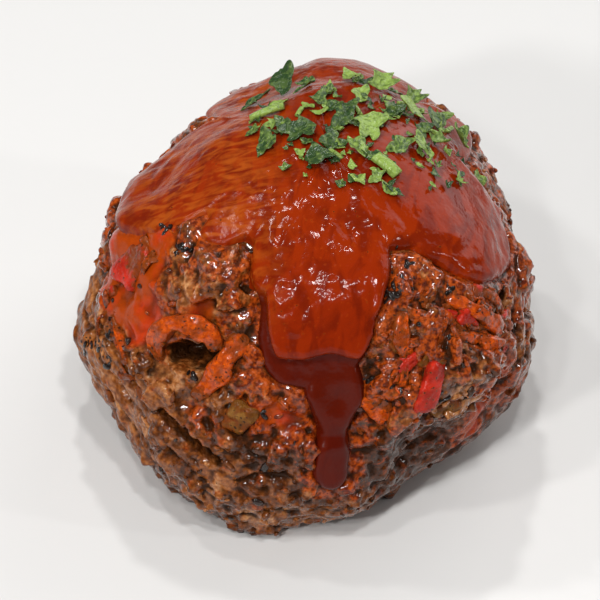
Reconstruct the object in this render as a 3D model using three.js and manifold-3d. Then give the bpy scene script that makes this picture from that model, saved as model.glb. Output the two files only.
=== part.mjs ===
// A single-portion meatloaf: a tall round loaf of crumbly baked meat with carrot, pepper and
// celery in it, under a thick cap of tomato sauce with chopped parsley on top.
// Millimetres, +Z up. The front, where the sauce runs down furthest, faces -Y. The loaf is built
// round the Z axis, and the last lines put the origin under the middle of its bounding box.

import * as THREE from 'three';
import { mergeVertices } from 'three/addons/utils/BufferGeometryUtils.js';
import Module from 'manifold-3d';

// ---------------------------------------------------------------- driving dimensions

const WIDTH = 77.4;           // side to side at the widest level
const DEPTH = 85.2;           // front to back at the widest level
const HEIGHT = 60.8;          // foot to crown, without the sauce
const WIDEST_LEVEL = 15;      // height at which the loaf is widest
const FOOT_SHARE = 0.78;      // foot radius as a share of the widest radius
const FLARE_SHARE = 0.16;     // share of the climb from foot to crown spent below the widest level
const DOME_SIDE = 2.17;       // superellipse powers of the dome: of its radius
const DOME_RISE = 2.46;       // and of its height
const CROWN_SHIFT = { x: 1.3, y: -5.6 };   // how far the crown leans from the foot's centre

const AROUND = 74;            // facets round the loaf
const FRONT_CROWDING = 0.32;  // how much closer together they stand at the front
const RINGS = 28;             // rings from foot to crown
const LAST_CLIMB = 0.94;      // climb of the last ring, from which facets run to the crown
const FOOT_BEVEL = 1.1;       // least height of the first ring over the foot

const SKIN_GAP = 0.32;        // clearance between the loaf and the sauce that lies on it
const SAUCE_THIN = 1.3;       // depth of the sauce on the upper left, where it has run off
const SAUCE_FULL = 2.1;       // depth of the sauce elsewhere
const SAUCE_FLOW = 1.1;       // how much deeper the front flow is above its lip
const SAUCE_LIP = 2.4;        // width of the rounded edge of the sauce
const SAUCE_BED = 1.2;        // how far the meat lies back under the sauce
const SAUCE_REST_EDGE = 55;   // height of the sauce's lower edge between its lobes

const FLAKES = 32;            // parsley flakes on the sauce
const FLAKE_SEED = 2417;

const DEGREE = Math.PI / 180;

// ---------------------------------------------------------------- small helpers

const clamp = (value, low, high) => Math.min(high, Math.max(low, value));
const mix = (from, to, share) => from + (to - from) * share;
const smooth = (value) => { const t = clamp(value, 0, 1); return t * t * (3 - 2 * t); };
const ramp = (value, from, to) => smooth((value - from) / (to - from));

// A seeded draw between 0 and 1, the same on every run.
function seededDraw(seed) {
  const MODULUS = 2147483647;
  const FACTOR = 16807;
  let state = seed;
  return () => {
    state = (state * FACTOR) % MODULUS;
    return state / MODULUS;
  };
}

// The value, -1 to 1, that a lattice point of the noise holds.
function latticeValue(i, j, k, seed) {
  let h = Math.imul(i, 374761393) + Math.imul(j, 668265263) + Math.imul(k, 1440662683);
  h = (h + Math.imul(seed, 974634777)) | 0;
  h = Math.imul(h ^ (h >>> 13), 1274126177);
  h ^= h >>> 16;
  return (h >>> 0) / 2147483648 - 1;
}

// Smooth value noise, -1 to 1, with bumps about `pitch` mm across.
function crag(p, pitch, seed) {
  const cell = [p.x, p.y, p.z].map((value) => Math.floor(value / pitch));
  const [u, v, w] = [p.x, p.y, p.z].map((value, n) => smooth(value / pitch - cell[n]));
  const [i, j, k] = cell;
  const row = (dj, dk) => mix(latticeValue(i, j + dj, k + dk, seed),
    latticeValue(i + 1, j + dj, k + dk, seed), u);
  return mix(mix(row(0, 0), row(1, 0), v), mix(row(0, 1), row(1, 1), v), w);
}

// ---------------------------------------------------------------- the loaf's smooth form

// The plan isn't round: it is a little skewed, and three-cornered towards the crown.
function planFactor(turn, rise) {
  const SKEW = -0.039;
  const CORNER_FOOT = { cos: 0.027, sin: -0.032 };
  const CORNER_CROWN = { cos: -0.135, sin: 0.088 };
  const fade = 1 - rise ** 10;
  return 1 + fade * (SKEW * Math.sin(2 * turn)
    + (CORNER_FOOT.cos + rise * CORNER_CROWN.cos) * Math.cos(3 * turn)
    + (CORNER_FOOT.sin + rise * CORNER_CROWN.sin) * Math.sin(3 * turn));
}

// Radius share and height at a climb of 0, the foot's rim, to 1, the crown.
function profile(climb) {
  if (climb < FLARE_SHARE) {
    const share = climb / FLARE_SHARE;
    return { radius: mix(FOOT_SHARE, 1, Math.sin(share * 90 * DEGREE)), z: share * WIDEST_LEVEL };
  }
  const angle = ((climb - FLARE_SHARE) / (1 - FLARE_SHARE)) * 90 * DEGREE;
  return {
    radius: Math.max(0, Math.cos(angle)) ** (2 / DOME_SIDE),
    z: WIDEST_LEVEL + (HEIGHT - WIDEST_LEVEL) * Math.sin(angle) ** (2 / DOME_RISE),
  };
}

// A point of the smooth form. The turn is measured from the front towards the right.
function smoothPoint(turn, climb) {
  const { radius, z } = profile(climb);
  const rise = z / HEIGHT;
  const lean = rise ** 1.5;
  const share = radius * planFactor(turn, rise);
  return new THREE.Vector3(
    CROWN_SHIFT.x * lean + (WIDTH / 2) * share * Math.sin(turn),
    CROWN_SHIFT.y * lean - (DEPTH / 2) * share * Math.cos(turn), z);
}

function smoothNormal(turn, climb) {
  const STEP = 0.004;
  if (climb > 1 - STEP) return new THREE.Vector3(0, 0, 1);
  const across = smoothPoint(turn + STEP, climb).sub(smoothPoint(turn - STEP, climb));
  const low = Math.max(0, climb - STEP);
  const up = smoothPoint(turn, climb + STEP).sub(smoothPoint(turn, low));
  return across.cross(up).normalize();
}

// ---------------------------------------------------------------- relief of the meat

// Swellings (push > 0) and hollows (push < 0): place, reach and push along the surface's normal.
const SWELLINGS = [
  // the left side: bulge above the foot, waist, pepper under the lobe, saddle and back shoulder
  { at: [-37, -11, 18], reach: 8, push: 0.4 },
  { at: [-37, -15, 33], reach: 7, push: -1.3 },
  { at: [-33, -12, 44], reach: 6, push: 1.6 },
  { at: [-34, 1, 42], reach: 6, push: 1.0 },
  { at: [-27, -2, 51], reach: 8, push: -1.4 },
  { at: [-18, 21, 45], reach: 9, push: 1.7 },
  { at: [-9, 17, 55], reach: 7, push: -1.5 },
  // the right side: corners of the crown, the notch under the lobe and the ragged ledge
  { at: [3, 29, 51], reach: 10, push: 1.0 },
  { at: [15, 19, 54], reach: 6, push: -1.0 },
  { at: [26, 20, 44], reach: 8, push: 2.0 },
  { at: [31, 6, 43], reach: 7, push: -0.9 },
  { at: [35, -14, 33], reach: 5, push: -2.4 },
  { at: [36, -13, 24], reach: 7, push: 2.2 },
  // the front: crumbs beside the sauce, chunks on the right, undercut below them, foot lip
  { at: [-25, -22, 50], reach: 3.4, push: 1.3 },
  { at: [-20, -28, 50], reach: 3.2, push: 1.0 },
  { at: [-15, -30, 50], reach: 3.2, push: 1.4 },
  { at: [-21, -30, 46], reach: 3.4, push: 1.2 },
  { at: [-14, -33, 47], reach: 3.0, push: 1.0 },
  { at: [20, -36, 38], reach: 8, push: 2.0 },
  { at: [28, -29, 36], reach: 7, push: 1.6 },
  { at: [24, -33, 17], reach: 9, push: -2.6 },
  { at: [4, -41, 26], reach: 9, push: -1.6 },
  { at: [-27, -33, 31], reach: 5, push: 1.4 },
  { at: [-6, -38, 4], reach: 8, push: 2.0 },
  { at: [10, -40, 8], reach: 6, push: 1.4 },
  { at: [17, -35, 9], reach: 6, push: -1.2 },
  { at: [-33, -26, 14], reach: 7, push: -1.3 },
  // the back
  { at: [-31, 24, 20], reach: 9, push: 1.6 },
  { at: [-38, 9, 27], reach: 8, push: -1.2 },
  { at: [-14, 38, 30], reach: 7, push: 1.3 },
  { at: [2, 42, 18], reach: 8, push: -1.4 },
  { at: [20, 37, 24], reach: 8, push: 1.8 },
  { at: [35, 21, 20], reach: 8, push: 1.4 },
  { at: [37, 6, 31], reach: 6, push: -1.2 },
];

// The baked skirt: the lower band of the loaf stands proud of the crumbly meat above it.
const SKIRT_LEVEL = 26;
const SKIRT_STEP = 1.1;

function skirtLevel(turn) {
  return SKIRT_LEVEL + 4.5 * Math.sin(-turn - 10 * DEGREE) + 1.6 * Math.sin(5 * turn);
}

// Height of the relief over the smooth form.
function relief(p, turn) {
  let height = 0;
  for (const { at, reach, push } of SWELLINGS) {
    const squared = (p.x - at[0]) ** 2 + (p.y - at[1]) ** 2 + (p.z - at[2]) ** 2;
    height += push * Math.exp(-squared / (reach * reach));
  }
  height += SKIRT_STEP * (0.5 - ramp(p.z, skirtLevel(turn) - 1.5, skirtLevel(turn) + 1.5));
  const bare = 1 - ramp(p.z, sauceEdge(turn) - 2, sauceEdge(turn) + 3);
  const crumbly = ramp(p.z, skirtLevel(turn) - 1, skirtLevel(turn) + 2);
  height += mix(0.4, 1.1, bare) * crag(p, 10, 3);
  height += bare * mix(0.5, 1.5, crumbly) * crag(p, 5.6, 11);
  return height - SAUCE_BED * (1 - bare);
}

// ---------------------------------------------------------------- the sauce's edge and depth

// Lobes of the sauce: direction, half width in degrees, drop in mm, and how square each one is.
const LOBES = [
  { at: 0, half: 22, drop: 19.5, square: 4 },       // the main flow at the front
  { at: 0, half: 32, drop: 14, square: 1.6 },       // and its shoulders
  { at: -48, half: 11, drop: 1.8, square: 2 },
  { at: -95, half: 35, drop: 14, square: 2 },       // left
  { at: 80, half: 37, drop: 15.5, square: 1.4 },    // right
  { at: 127, half: 21, drop: 11, square: 2 },       // right back
  { at: 167, half: 24, drop: 21, square: 3 },       // back
  { at: -150, half: 27, drop: 13, square: 2.4 },    // left back
];

const DRIP = { topTurn: 7.4, footTurn: 8.0, top: 36, tip: 15, wide: 5.2, narrow: 3.3 };
const FAR_OUTSIDE = -4;       // mm outside the edge beyond which the distance no longer counts

function lobeDrop(turn, { at, half, drop, square }) {
  const away = Math.abs(((turn / DEGREE - at + 540) % 360) - 180) / half;
  return away < 1 ? drop * (1 - away ** square) : 0;
}

// Height of the sauce's lower edge in a direction.
function sauceEdge(turn) {
  return SAUCE_REST_EDGE - Math.max(...LOBES.map((lobe) => lobeDrop(turn, lobe)));
}

// How far inside the sauce's edge a point lies, in mm along the surface; negative outside.
function insideSauce(p, turn) {
  const STEP = 1.5 * DEGREE;
  const radius = Math.hypot(p.x, p.y);
  const slope = (sauceEdge(turn + STEP) - sauceEdge(turn - STEP)) / (2 * STEP * radius);
  const inLobes = (p.z - sauceEdge(turn)) / Math.hypot(1, slope);

  const fall = clamp((DRIP.top - p.z) / (DRIP.top - DRIP.tip), 0, 1);
  const half = mix(DRIP.wide, DRIP.narrow, smooth(fall * 2));
  const aside = (turn - mix(DRIP.topTurn, DRIP.footTurn, fall) * DEGREE) * radius;
  const beyond = Math.max(0, p.z - DRIP.top, DRIP.tip + DRIP.narrow - p.z);
  return Math.max(inLobes, half - Math.hypot(aside, beyond), FAR_OUTSIDE);
}

// Depth of the sauce over the loaf; outside its edge it falls below the loaf's skin.
function sauceDepth(p, turn) {
  const inside = insideSauce(p, turn);
  if (inside < 0) return inside;
  const lip = Math.sqrt(1 - (1 - clamp(inside / SAUCE_LIP, 0, 1)) ** 2);
  const FLOW_LIP = 42.5;
  const aside = Math.abs(turn / DEGREE - 2);
  const flow = ramp(p.z, FLOW_LIP - 1, FLOW_LIP + 1.5) * (1 - ramp(aside, 20, 34))
    * (1 - ramp(p.z, 52, 58));
  const thinned = ramp(-p.x, 4, 16) * ramp(p.z, 44, 52);
  return lip * (mix(SAUCE_FULL, SAUCE_THIN, thinned) + SAUCE_FLOW * flow);
}

// ---------------------------------------------------------------- closed solids

const wasm = await Module();
wasm.setup();

function toSolid(geometry) {
  const plain = geometry.clone();
  for (const name of ['normal', 'uv']) plain.deleteAttribute(name);
  const merged = mergeVertices(plain, 1e-4);
  return new wasm.Manifold(new wasm.Mesh({
    numProp: 3,
    vertProperties: new Float32Array(merged.attributes.position.array),
    triVerts: new Uint32Array(merged.index.array),
  }));
}

function toGeometry(solid) {
  const { vertProperties, triVerts } = solid.getMesh();
  const geometry = new THREE.BufferGeometry();
  geometry.setAttribute('position', new THREE.BufferAttribute(new Float32Array(vertProperties), 3));
  geometry.setIndex(new THREE.BufferAttribute(new Uint32Array(triVerts), 1));
  geometry.computeVertexNormals();
  return geometry;
}

const joined = (solids) => solids.reduce((whole, solid) => whole.add(solid));

// The loaf's skin as a grid: for each of RINGS rings of AROUND places its base point on the relief,
// the normal there, and the point and turn of the smooth form below it. The crown comes last. Each
// cell is split along the diagonal that runs more nearly along the sauce's edge.
function skinGrid() {
  const places = [];
  for (let ring = 0; ring < RINGS; ring += 1) {
    const climb = LAST_CLIMB * (ring / (RINGS - 1)) ** 0.97;
    for (let step = 0; step < AROUND; step += 1) {
      const even = ((((step / AROUND) * 360 + 180) % 360) - 180) * DEGREE;
      const turn = even - FRONT_CROWDING * Math.sin(even);
      places.push(skinPlace(turn, climb, ring));
    }
  }
  places.push(skinPlace(0, 1, RINGS));

  const at = (ring, step) => ring * AROUND + (step % AROUND);
  const change = (a, b) => Math.abs(places[a].inside - places[b].inside);
  const triangles = [];
  for (let step = 0; step < AROUND; step += 1) {
    for (let ring = 0; ring < RINGS - 1; ring += 1) {
      const [a, b] = [at(ring, step), at(ring, step + 1)];
      const [c, d] = [at(ring + 1, step + 1), at(ring + 1, step)];
      if (change(a, c) < change(b, d)) triangles.push([a, b, c], [a, c, d]);
      else triangles.push([a, b, d], [b, c, d]);
    }
    triangles.push([at(RINGS - 1, step), at(RINGS - 1, step + 1), at(RINGS, 0)]);
  }
  return { places, triangles };
}

function skinPlace(turn, climb, ring) {
  const smoothed = smoothPoint(turn, climb);
  const normal = smoothNormal(turn, climb);
  if (ring === 0) normal.setZ(0).normalize();
  const base = smoothed.clone().addScaledVector(normal, relief(smoothed, turn));
  if (ring > 0) base.z = Math.max(base.z, ring * FOOT_BEVEL);
  return { smoothed, turn, normal, base, inside: insideSauce(smoothed, turn) };
}

function indexedGeometry(positions, triangles) {
  const geometry = new THREE.BufferGeometry();
  geometry.setAttribute('position', new THREE.Float32BufferAttribute(positions.flatMap((p) => [...p]), 3));
  geometry.setIndex(triangles.flat());
  return geometry;
}

// The whole skin, swollen by a height of its own at each place, closed by a flat foot.
function skinSolid(swelling) {
  const { places, triangles } = skinGrid();
  const positions = places.map((place) => place.base.clone()
    .addScaledVector(place.normal, swelling(place)));
  const foot = positions.push(new THREE.Vector3()) - 1;
  for (let step = 0; step < AROUND; step += 1) triangles.push([foot, (step + 1) % AROUND, step]);
  return toSolid(indexedGeometry(positions, triangles));
}

// The sauce: a closed sheet over the part of the skin inside its edge. Each triangle is cut along
// the edge, where the upper and the lower face of the sheet meet.
function sauceSheet() {
  const { places, triangles } = skinGrid();
  const covered = places.map(({ inside }) => inside > 0);
  const positions = [];
  const faces = [];
  const known = new Map();
  const vertex = (key, makePoint) => {
    if (!known.has(key)) known.set(key, positions.push(makePoint()) - 1);
    return known.get(key);
  };
  const raised = ({ base, normal }, height) => base.clone().addScaledVector(normal, height);
  const onFace = (n, upper) => vertex(`${n} ${upper}`, () => raised(places[n],
    SKIN_GAP + (upper ? sauceDepth(places[n].smoothed, places[n].turn) : 0)));
  const onRim = (a, b) => {
    const [bare, wet] = covered[a] ? [places[b], places[a]] : [places[a], places[b]];
    return vertex(`${Math.min(a, b)}-${Math.max(a, b)}`, () => raised(bare, SKIN_GAP)
      .lerp(raised(wet, SKIN_GAP), rimShare(bare, wet)));
  };
  for (const corners of triangles) {
    for (const upper of [true, false]) {
      const outline = [];
      corners.forEach((a, n) => {
        const b = corners[(n + 1) % 3];
        if (covered[a]) outline.push(onFace(a, upper));
        if (covered[a] !== covered[b]) outline.push(onRim(a, b));
      });
      if (!upper) outline.reverse();
      for (let n = 2; n < outline.length; n += 1) faces.push([outline[0], outline[n - 1], outline[n]]);
    }
  }
  return toSolid(indexedGeometry(positions, faces));
}

// How far along the line from a bare place to a covered one the sauce's edge lies.
function rimShare(bare, wet) {
  const LEAST = 0.1;
  let low = 0;
  let high = 1;
  for (let halving = 0; halving < 10; halving += 1) {
    const share = (low + high) / 2;
    const point = bare.smoothed.clone().lerp(wet.smoothed, share);
    if (insideSauce(point, mix(bare.turn, wet.turn, share)) > 0) high = share;
    else low = share;
  }
  return clamp(high, LEAST, 1 - LEAST);
}

// The point of the loaf's surface in a direction at a height, and the normal there.
function surfaceAt(turnDegrees, height) {
  const turn = turnDegrees * DEGREE;
  let low = 0;
  let high = 1;
  for (let halving = 0; halving < 24; halving += 1) {
    const middle = (low + high) / 2;
    if (profile(middle).z < height) low = middle;
    else high = middle;
  }
  const p = smoothPoint(turn, low);
  const normal = smoothNormal(turn, low);
  return { point: p.clone().addScaledVector(normal, relief(p, turn)), normal };
}

// A bar of vegetable lying on the meat along [direction, height, lift off the surface] stations.
function strip(stations, width, thick) {
  const places = stations.map(([turn, height, lift]) => {
    const { point, normal } = surfaceAt(turn, height);
    return point.addScaledVector(normal, lift);
  });
  const curve = new THREE.CatmullRomCurve3(places);
  const section = new THREE.Shape();
  const CORNERS = 6;
  for (let corner = 0; corner < CORNERS; corner += 1) {
    const angle = ((corner + 0.5) / CORNERS) * 360 * DEGREE;
    section[corner ? 'lineTo' : 'moveTo'](Math.cos(angle) * thick / 2, Math.sin(angle) * width / 2);
  }
  section.closePath();
  return toSolid(new THREE.ExtrudeGeometry(section,
    { steps: 2 * (stations.length - 1), extrudePath: curve, bevelEnabled: false }));
}

// A rounded chunk pressed into the meat: [across, upwards, out], turned about the normal.
function chunk(turnDegrees, height, size, roll = 0, lift = 0) {
  const { point, normal } = surfaceAt(turnDegrees, height);
  const up = new THREE.Vector3(0, 0, 1).addScaledVector(normal, -normal.z).normalize();
  const across = up.clone().cross(normal);
  const body = new THREE.IcosahedronGeometry(0.5, 1);
  body.scale(...size);
  body.rotateZ(roll * DEGREE);
  body.applyMatrix4(new THREE.Matrix4().makeBasis(across, up, normal));
  body.translate(...point.addScaledVector(normal, lift));
  return toSolid(body);
}

// ---------------------------------------------------------------- the loaf

// The dark crack over the skirt at the front left: direction, height, lift.
function crack() {
  const stations = [[-66, 29, 0.3], [-58, 29.5, -0.3], [-50, 28.5, -0.5], [-42, 25.5, -0.5],
    [-33, 24, -0.5], [-27, 21.5, -0.3], [-21, 19.5, 0.6]];
  return strip(stations, 1.9, 4.4);
}

// The dark hollow that the carrot curl bridges.
function hollow() {
  return chunk(-37, 36.2, [11, 5.4, 9], 22, -0.5);
}

// Carrot, pepper and celery that show in the meat.
function vegetables() {
  return joined([
    strip([[-48, 34.5, 0], [-47, 39, 1.9], [-42, 42.6, 2.6], [-36, 42.8, 2.2], [-30, 40.5, 0.2]], 4.2, 2.6),
    strip([[-23, 45, 0.5], [-26, 39, 1.1], [-29, 34, 1.1], [-33, 28, 0.3]], 3.8, 2.6),
    strip([[-64, 33, 0.2], [-57, 31.5, 0.8], [-50, 29.5, 0.2]], 1.8, 1.8),
    strip([[48, 46.5, 0.3], [55, 41.5, 1.2], [62, 35.5, 0.3]], 2.2, 2.2),
    strip([[29, 48, 0.3], [27, 44.5, 1.0], [29, 40, 0.3]], 2.8, 2.4),
    chunk(53, 36.5, [5.5, 3.8, 3.4], -35, 0.6),
    chunk(20, 31.5, [5.4, 8.8, 3.8], 10, 0.5),
    chunk(33, 35.5, [4.2, 8.8, 4.4], -25, 1.0),
    chunk(39, 28.5, [5.6, 3.8, 3.4], 20, 0.6),
    chunk(-18, 28.5, [4.8, 7.6, 3.4], -20, 0.4),
    chunk(-66, 42, [5.6, 10, 3.4], 8, 0.4),
    chunk(150, 29, [5.0, 6.8, 3.4], 25, 0.4),
    chunk(-112, 31, [6.2, 3.6, 3.2], 12, 0.4),
    chunk(97, 28, [3.8, 7.2, 3.2], -18, 0.4),
  ]);
}

// ---------------------------------------------------------------- the sauce

// A chopped leaf: a thin wavy patch, both faces split alike, lying tilted on the sauce.
function flake(turn, climb, size, draw) {
  const CELLS = 2;
  const THICK = 0.6;
  const SUNK = 0.3;
  const STEPS = CELLS + 1;
  const p = smoothPoint(turn, climb);
  const normal = smoothNormal(turn, climb);
  const lift = relief(p, turn) + SKIN_GAP + sauceDepth(p, turn) - SUNK;
  const place = p.clone().addScaledVector(normal, lift);
  const heading = new THREE.Quaternion().setFromUnitVectors(new THREE.Vector3(0, 0, 1), normal);
  const tilt = new THREE.Quaternion().setFromEuler(new THREE.Euler(
    mix(-12, 12, draw()) * DEGREE, mix(-12, 12, draw()) * DEGREE, draw() * 360 * DEGREE, 'ZYX'));
  const wave = mix(0.3, 0.8, draw());
  const positions = [];
  for (const side of [0, 1]) {
    for (let i = 0; i < STEPS; i += 1) {
      for (let j = 0; j < STEPS; j += 1) {
        const u = (i / CELLS - 0.5) * 2;
        const v = (j / CELLS - 0.5) * 2;
        const pinch = 1 - 0.35 * u * u;
        const bend = wave * (1 - u * u) + 0.25 * wave * v - 0.1;
        const local = new THREE.Vector3(u * size.long / 2, v * pinch * size.wide / 2, bend + side * THICK);
        positions.push(local.applyQuaternion(tilt).applyQuaternion(heading).add(place));
      }
    }
  }
  const at = (side, i, j) => side * STEPS * STEPS + i * STEPS + j;
  const triangles = [];
  for (let i = 0; i < CELLS; i += 1) {
    for (let j = 0; j < CELLS; j += 1) {
      triangles.push([at(1, i, j), at(1, i + 1, j), at(1, i + 1, j + 1)]);
      triangles.push([at(1, i, j), at(1, i + 1, j + 1), at(1, i, j + 1)]);
      triangles.push([at(0, i, j), at(0, i + 1, j + 1), at(0, i + 1, j)]);
      triangles.push([at(0, i, j), at(0, i, j + 1), at(0, i + 1, j + 1)]);
    }
  }
  const wall = (i, j, k, l) => {
    triangles.push([at(0, i, j), at(0, k, l), at(1, k, l)], [at(0, i, j), at(1, k, l), at(1, i, j)]);
  };
  for (let step = 0; step < CELLS; step += 1) {
    wall(step, 0, step + 1, 0);
    wall(CELLS, step, CELLS, step + 1);
    wall(CELLS - step, CELLS, CELLS - step - 1, CELLS);
    wall(0, CELLS - step, 0, CELLS - step - 1);
  }
  return toSolid(indexedGeometry(positions, triangles));
}

// Flakes lie thickest in an oval patch on the crown, a little to the right.
function flakes() {
  const PATCH = { x: 7, y: 1, across: 18, deep: 17 };
  const KEEP_CLEAR = 3.2;
  const draw = seededDraw(FLAKE_SEED);
  const placed = [];
  const solids = [];
  while (solids.length < FLAKES) {
    const away = draw() ** 0.62;
    const angle = draw() * 360 * DEGREE;
    const x = PATCH.x + PATCH.across * away * Math.cos(angle);
    const y = PATCH.y + PATCH.deep * away * Math.sin(angle);
    const size = { long: mix(3.2, 5.6, draw()), wide: mix(2.0, 3.4, draw()) };
    const crowded = placed.some((spot) => Math.hypot(spot.x - x, spot.y - y) < KEEP_CLEAR);
    if (crowded) continue;
    placed.push({ x, y });
    const { turn, climb } = overheadPlace(x, y);
    solids.push(flake(turn, climb, size, draw));
  }
  return solids;
}

// The turn and climb of the point of the smooth form above a place in plan.
function overheadPlace(x, y) {
  let low = FLARE_SHARE;
  let high = 1;
  let turn = 0;
  for (let halving = 0; halving < 24; halving += 1) {
    const middle = (low + high) / 2;
    const lean = (profile(middle).z / HEIGHT) ** 1.5;
    const dx = (x - CROWN_SHIFT.x * lean) / WIDTH;
    const dy = (y - CROWN_SHIFT.y * lean) / DEPTH;
    turn = Math.atan2(dx, -dy);
    const reach = profile(middle).radius * planFactor(turn, profile(middle).z / HEIGHT) / 2;
    if (reach > Math.hypot(dx, dy)) low = middle;
    else high = middle;
  }
  return { turn, climb: low };
}

// ---------------------------------------------------------------- assembly

function buildMeatloaf() {
  const sauceClearance = skinSolid(({ smoothed, turn }) => sauceDepth(smoothed, turn) + 2 * SKIN_GAP);
  const core = skinSolid(() => 0).subtract(crack()).subtract(hollow());
  return core.add(vegetables().subtract(sauceClearance));
}

function buildSauce() {
  return joined([sauceSheet(), ...flakes()]);
}

function namedMesh(name, solid, material) {
  const mesh = new THREE.Mesh(toGeometry(solid), material);
  mesh.name = name;
  return mesh;
}

const meat = new THREE.MeshStandardMaterial({ color: 0x8a5630, roughness: 0.6, metalness: 0 });
const sauce = new THREE.MeshStandardMaterial({ color: 0x8f2f10, roughness: 0.25, metalness: 0 });

const loaf = new THREE.Group();
loaf.add(namedMesh('meatloaf', buildMeatloaf(), meat));
loaf.add(namedMesh('tomato_sauce', buildSauce(), sauce));

const middle = new THREE.Box3().setFromObject(loaf).getCenter(new THREE.Vector3());
loaf.position.set(-middle.x, -middle.y, 0);

export default loaf;
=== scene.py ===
"""A single-portion meatloaf: baked meat with vegetables in it, tomato sauce over it, parsley on top.

Lengths in the form's own functions are millimetres; everything that Blender sees is in metres.
A "turn" is a direction round the loaf, measured from the front (-Y) towards the right (+X). A
"climb" runs from 0 at the foot's rim to 1 at the crown.
"""

import itertools
import math

import bpy
import numpy as np
from bpy.props import FloatProperty, FloatVectorProperty, IntProperty, PointerProperty
from mathutils import Matrix, Vector, kdtree
from mathutils.bvhtree import BVHTree


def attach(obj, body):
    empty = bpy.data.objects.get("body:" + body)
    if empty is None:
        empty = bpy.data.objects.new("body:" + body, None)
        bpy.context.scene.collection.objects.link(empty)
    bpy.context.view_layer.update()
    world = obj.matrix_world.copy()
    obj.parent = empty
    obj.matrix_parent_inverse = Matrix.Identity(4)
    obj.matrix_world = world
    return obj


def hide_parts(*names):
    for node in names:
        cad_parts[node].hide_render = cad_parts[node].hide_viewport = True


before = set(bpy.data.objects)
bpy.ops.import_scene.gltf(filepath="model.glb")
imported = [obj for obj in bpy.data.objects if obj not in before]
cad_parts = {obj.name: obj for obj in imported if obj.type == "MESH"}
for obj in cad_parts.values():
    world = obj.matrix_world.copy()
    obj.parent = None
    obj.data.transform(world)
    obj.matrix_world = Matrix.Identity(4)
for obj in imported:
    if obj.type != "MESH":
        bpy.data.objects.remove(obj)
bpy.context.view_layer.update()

bl_info = {
    "name": "Meatloaf",
    "version": (1, 0, 0),
    "blender": (4, 5, 0),
    "location": "View3D > Sidebar > Meatloaf",
    "description": "A single-portion meatloaf with vegetables, tomato sauce and parsley",
    "category": "Add Mesh",
}

MM = 0.001
DEGREE = math.pi / 180
TINY = 1e-6

# ---------------------------------------------------------------- the loaf's smooth form, mm

AXIS_PLACE = np.array([0.1495, 1.0354, 0.0])    # where the axis that the loaf is built round stands
WIDTH = 77.4
DEPTH = 85.2
HEIGHT = 60.8
WIDEST_LEVEL = 15.0
FOOT_SHARE = 0.78           # the foot's radius as a share of the widest one
FLARE_SHARE = 0.16          # share of the climb from the foot's rim to the widest level
DOME_SIDE = 2.17            # 2 would make the dome an ellipse, and more makes it fuller
DOME_RISE = 2.46
CROWN_SHIFT = (1.3, -5.6)   # how far the crown stands aside of the foot
LEAN_POWER = 1.5
PLAN_SKEW = -0.039
# The plan's three-cornered swell, as cosine and sine: at the foot, and its change up to the crown.
PLAN_CORNERS = ((0.027, -0.135), (-0.032, 0.088))
PLAN_FADE_POWER = 10
NORMAL_STEP = 0.004

# The crags' lattice: odd whole numbers that scatter a lattice point's place into a value.
LATTICE_FACTORS = (374761393, 668265263, 1440662683)
SEED_FACTOR = 974634777
SCATTER_FACTOR = 1274126177
LOWEST_32_BITS = 0xFFFFFFFF
HALF_RANGE = 2.0 ** 31
LUMP_JITTER = 0.45


def mix(low, high, share):
    """A value part of the way from low to high."""
    return low + (high - low) * share


def ramp(value, low, high):
    """0 below low, 1 above high, and smooth between them."""
    share = np.clip((value - low) / (high - low), 0, 1)
    return share * share * (3 - 2 * share)


def lattice_value(i, j, k, seed):
    """The value, -1 to 1, that a lattice point of the crags holds."""
    along_i, along_j, along_k = LATTICE_FACTORS
    mixed = i * along_i + j * along_j + k * along_k + seed * SEED_FACTOR
    hashed = (mixed & LOWEST_32_BITS).astype(np.uint32)
    hashed = (hashed ^ (hashed >> 13)) * np.uint32(SCATTER_FACTOR)
    hashed ^= hashed >> 16
    return hashed / HALF_RANGE - 1.0


def crag(points, pitch, seed):
    """Smooth bumps about one pitch across, -1 to 1."""
    cell = np.floor(points / pitch).astype(np.int64)
    share = points / pitch - cell
    u, v, w = (share * share * (3 - 2 * share)).T
    i, j, k = cell.T

    def row(dj, dk):
        return mix(lattice_value(i, j + dj, k + dk, seed), lattice_value(i + 1, j + dj, k + dk, seed), u)

    return mix(mix(row(0, 0), row(1, 0), v), mix(row(0, 1), row(1, 1), v), w)


def crags(points, *layers):
    """Sum of layers of crags, each with its height, pitch and seed."""
    return sum(height * crag(points, pitch, seed) for height, pitch, seed in layers)


def lumps(points, pitch, seed):
    """Rounded lumps about one pitch across with creases between them: height 0 to 1, and own tint."""
    scaled = points / pitch
    cell = np.floor(scaled).astype(np.int64)
    nearest = np.full(len(points), np.inf)
    own = np.zeros(len(points))
    for offset in itertools.product((-1, 0, 1), repeat=3):
        corner = cell + offset
        i, j, k = corner.T
        jitter = np.stack([lattice_value(i, j, k, seed + n) for n in range(3)], axis=1)
        away = ((scaled - corner - 0.5 - LUMP_JITTER * jitter) ** 2).sum(axis=1)
        closer = away < nearest
        nearest = np.where(closer, away, nearest)
        own = np.where(closer, lattice_value(i, j, k, seed + 3), own)
    return 1 - np.minimum(nearest, 1), own * 0.5 + 0.5


def plan_factor(turn, rise):
    """How far the plan stands in or out of an ellipse: a little skewed and three-cornered."""
    cosine, sine = (at_foot + change * rise for at_foot, change in PLAN_CORNERS)
    swell = PLAN_SKEW * np.sin(2 * turn) + cosine * np.cos(3 * turn) + sine * np.sin(3 * turn)
    return 1 + (1 - rise ** PLAN_FADE_POWER) * swell


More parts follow.
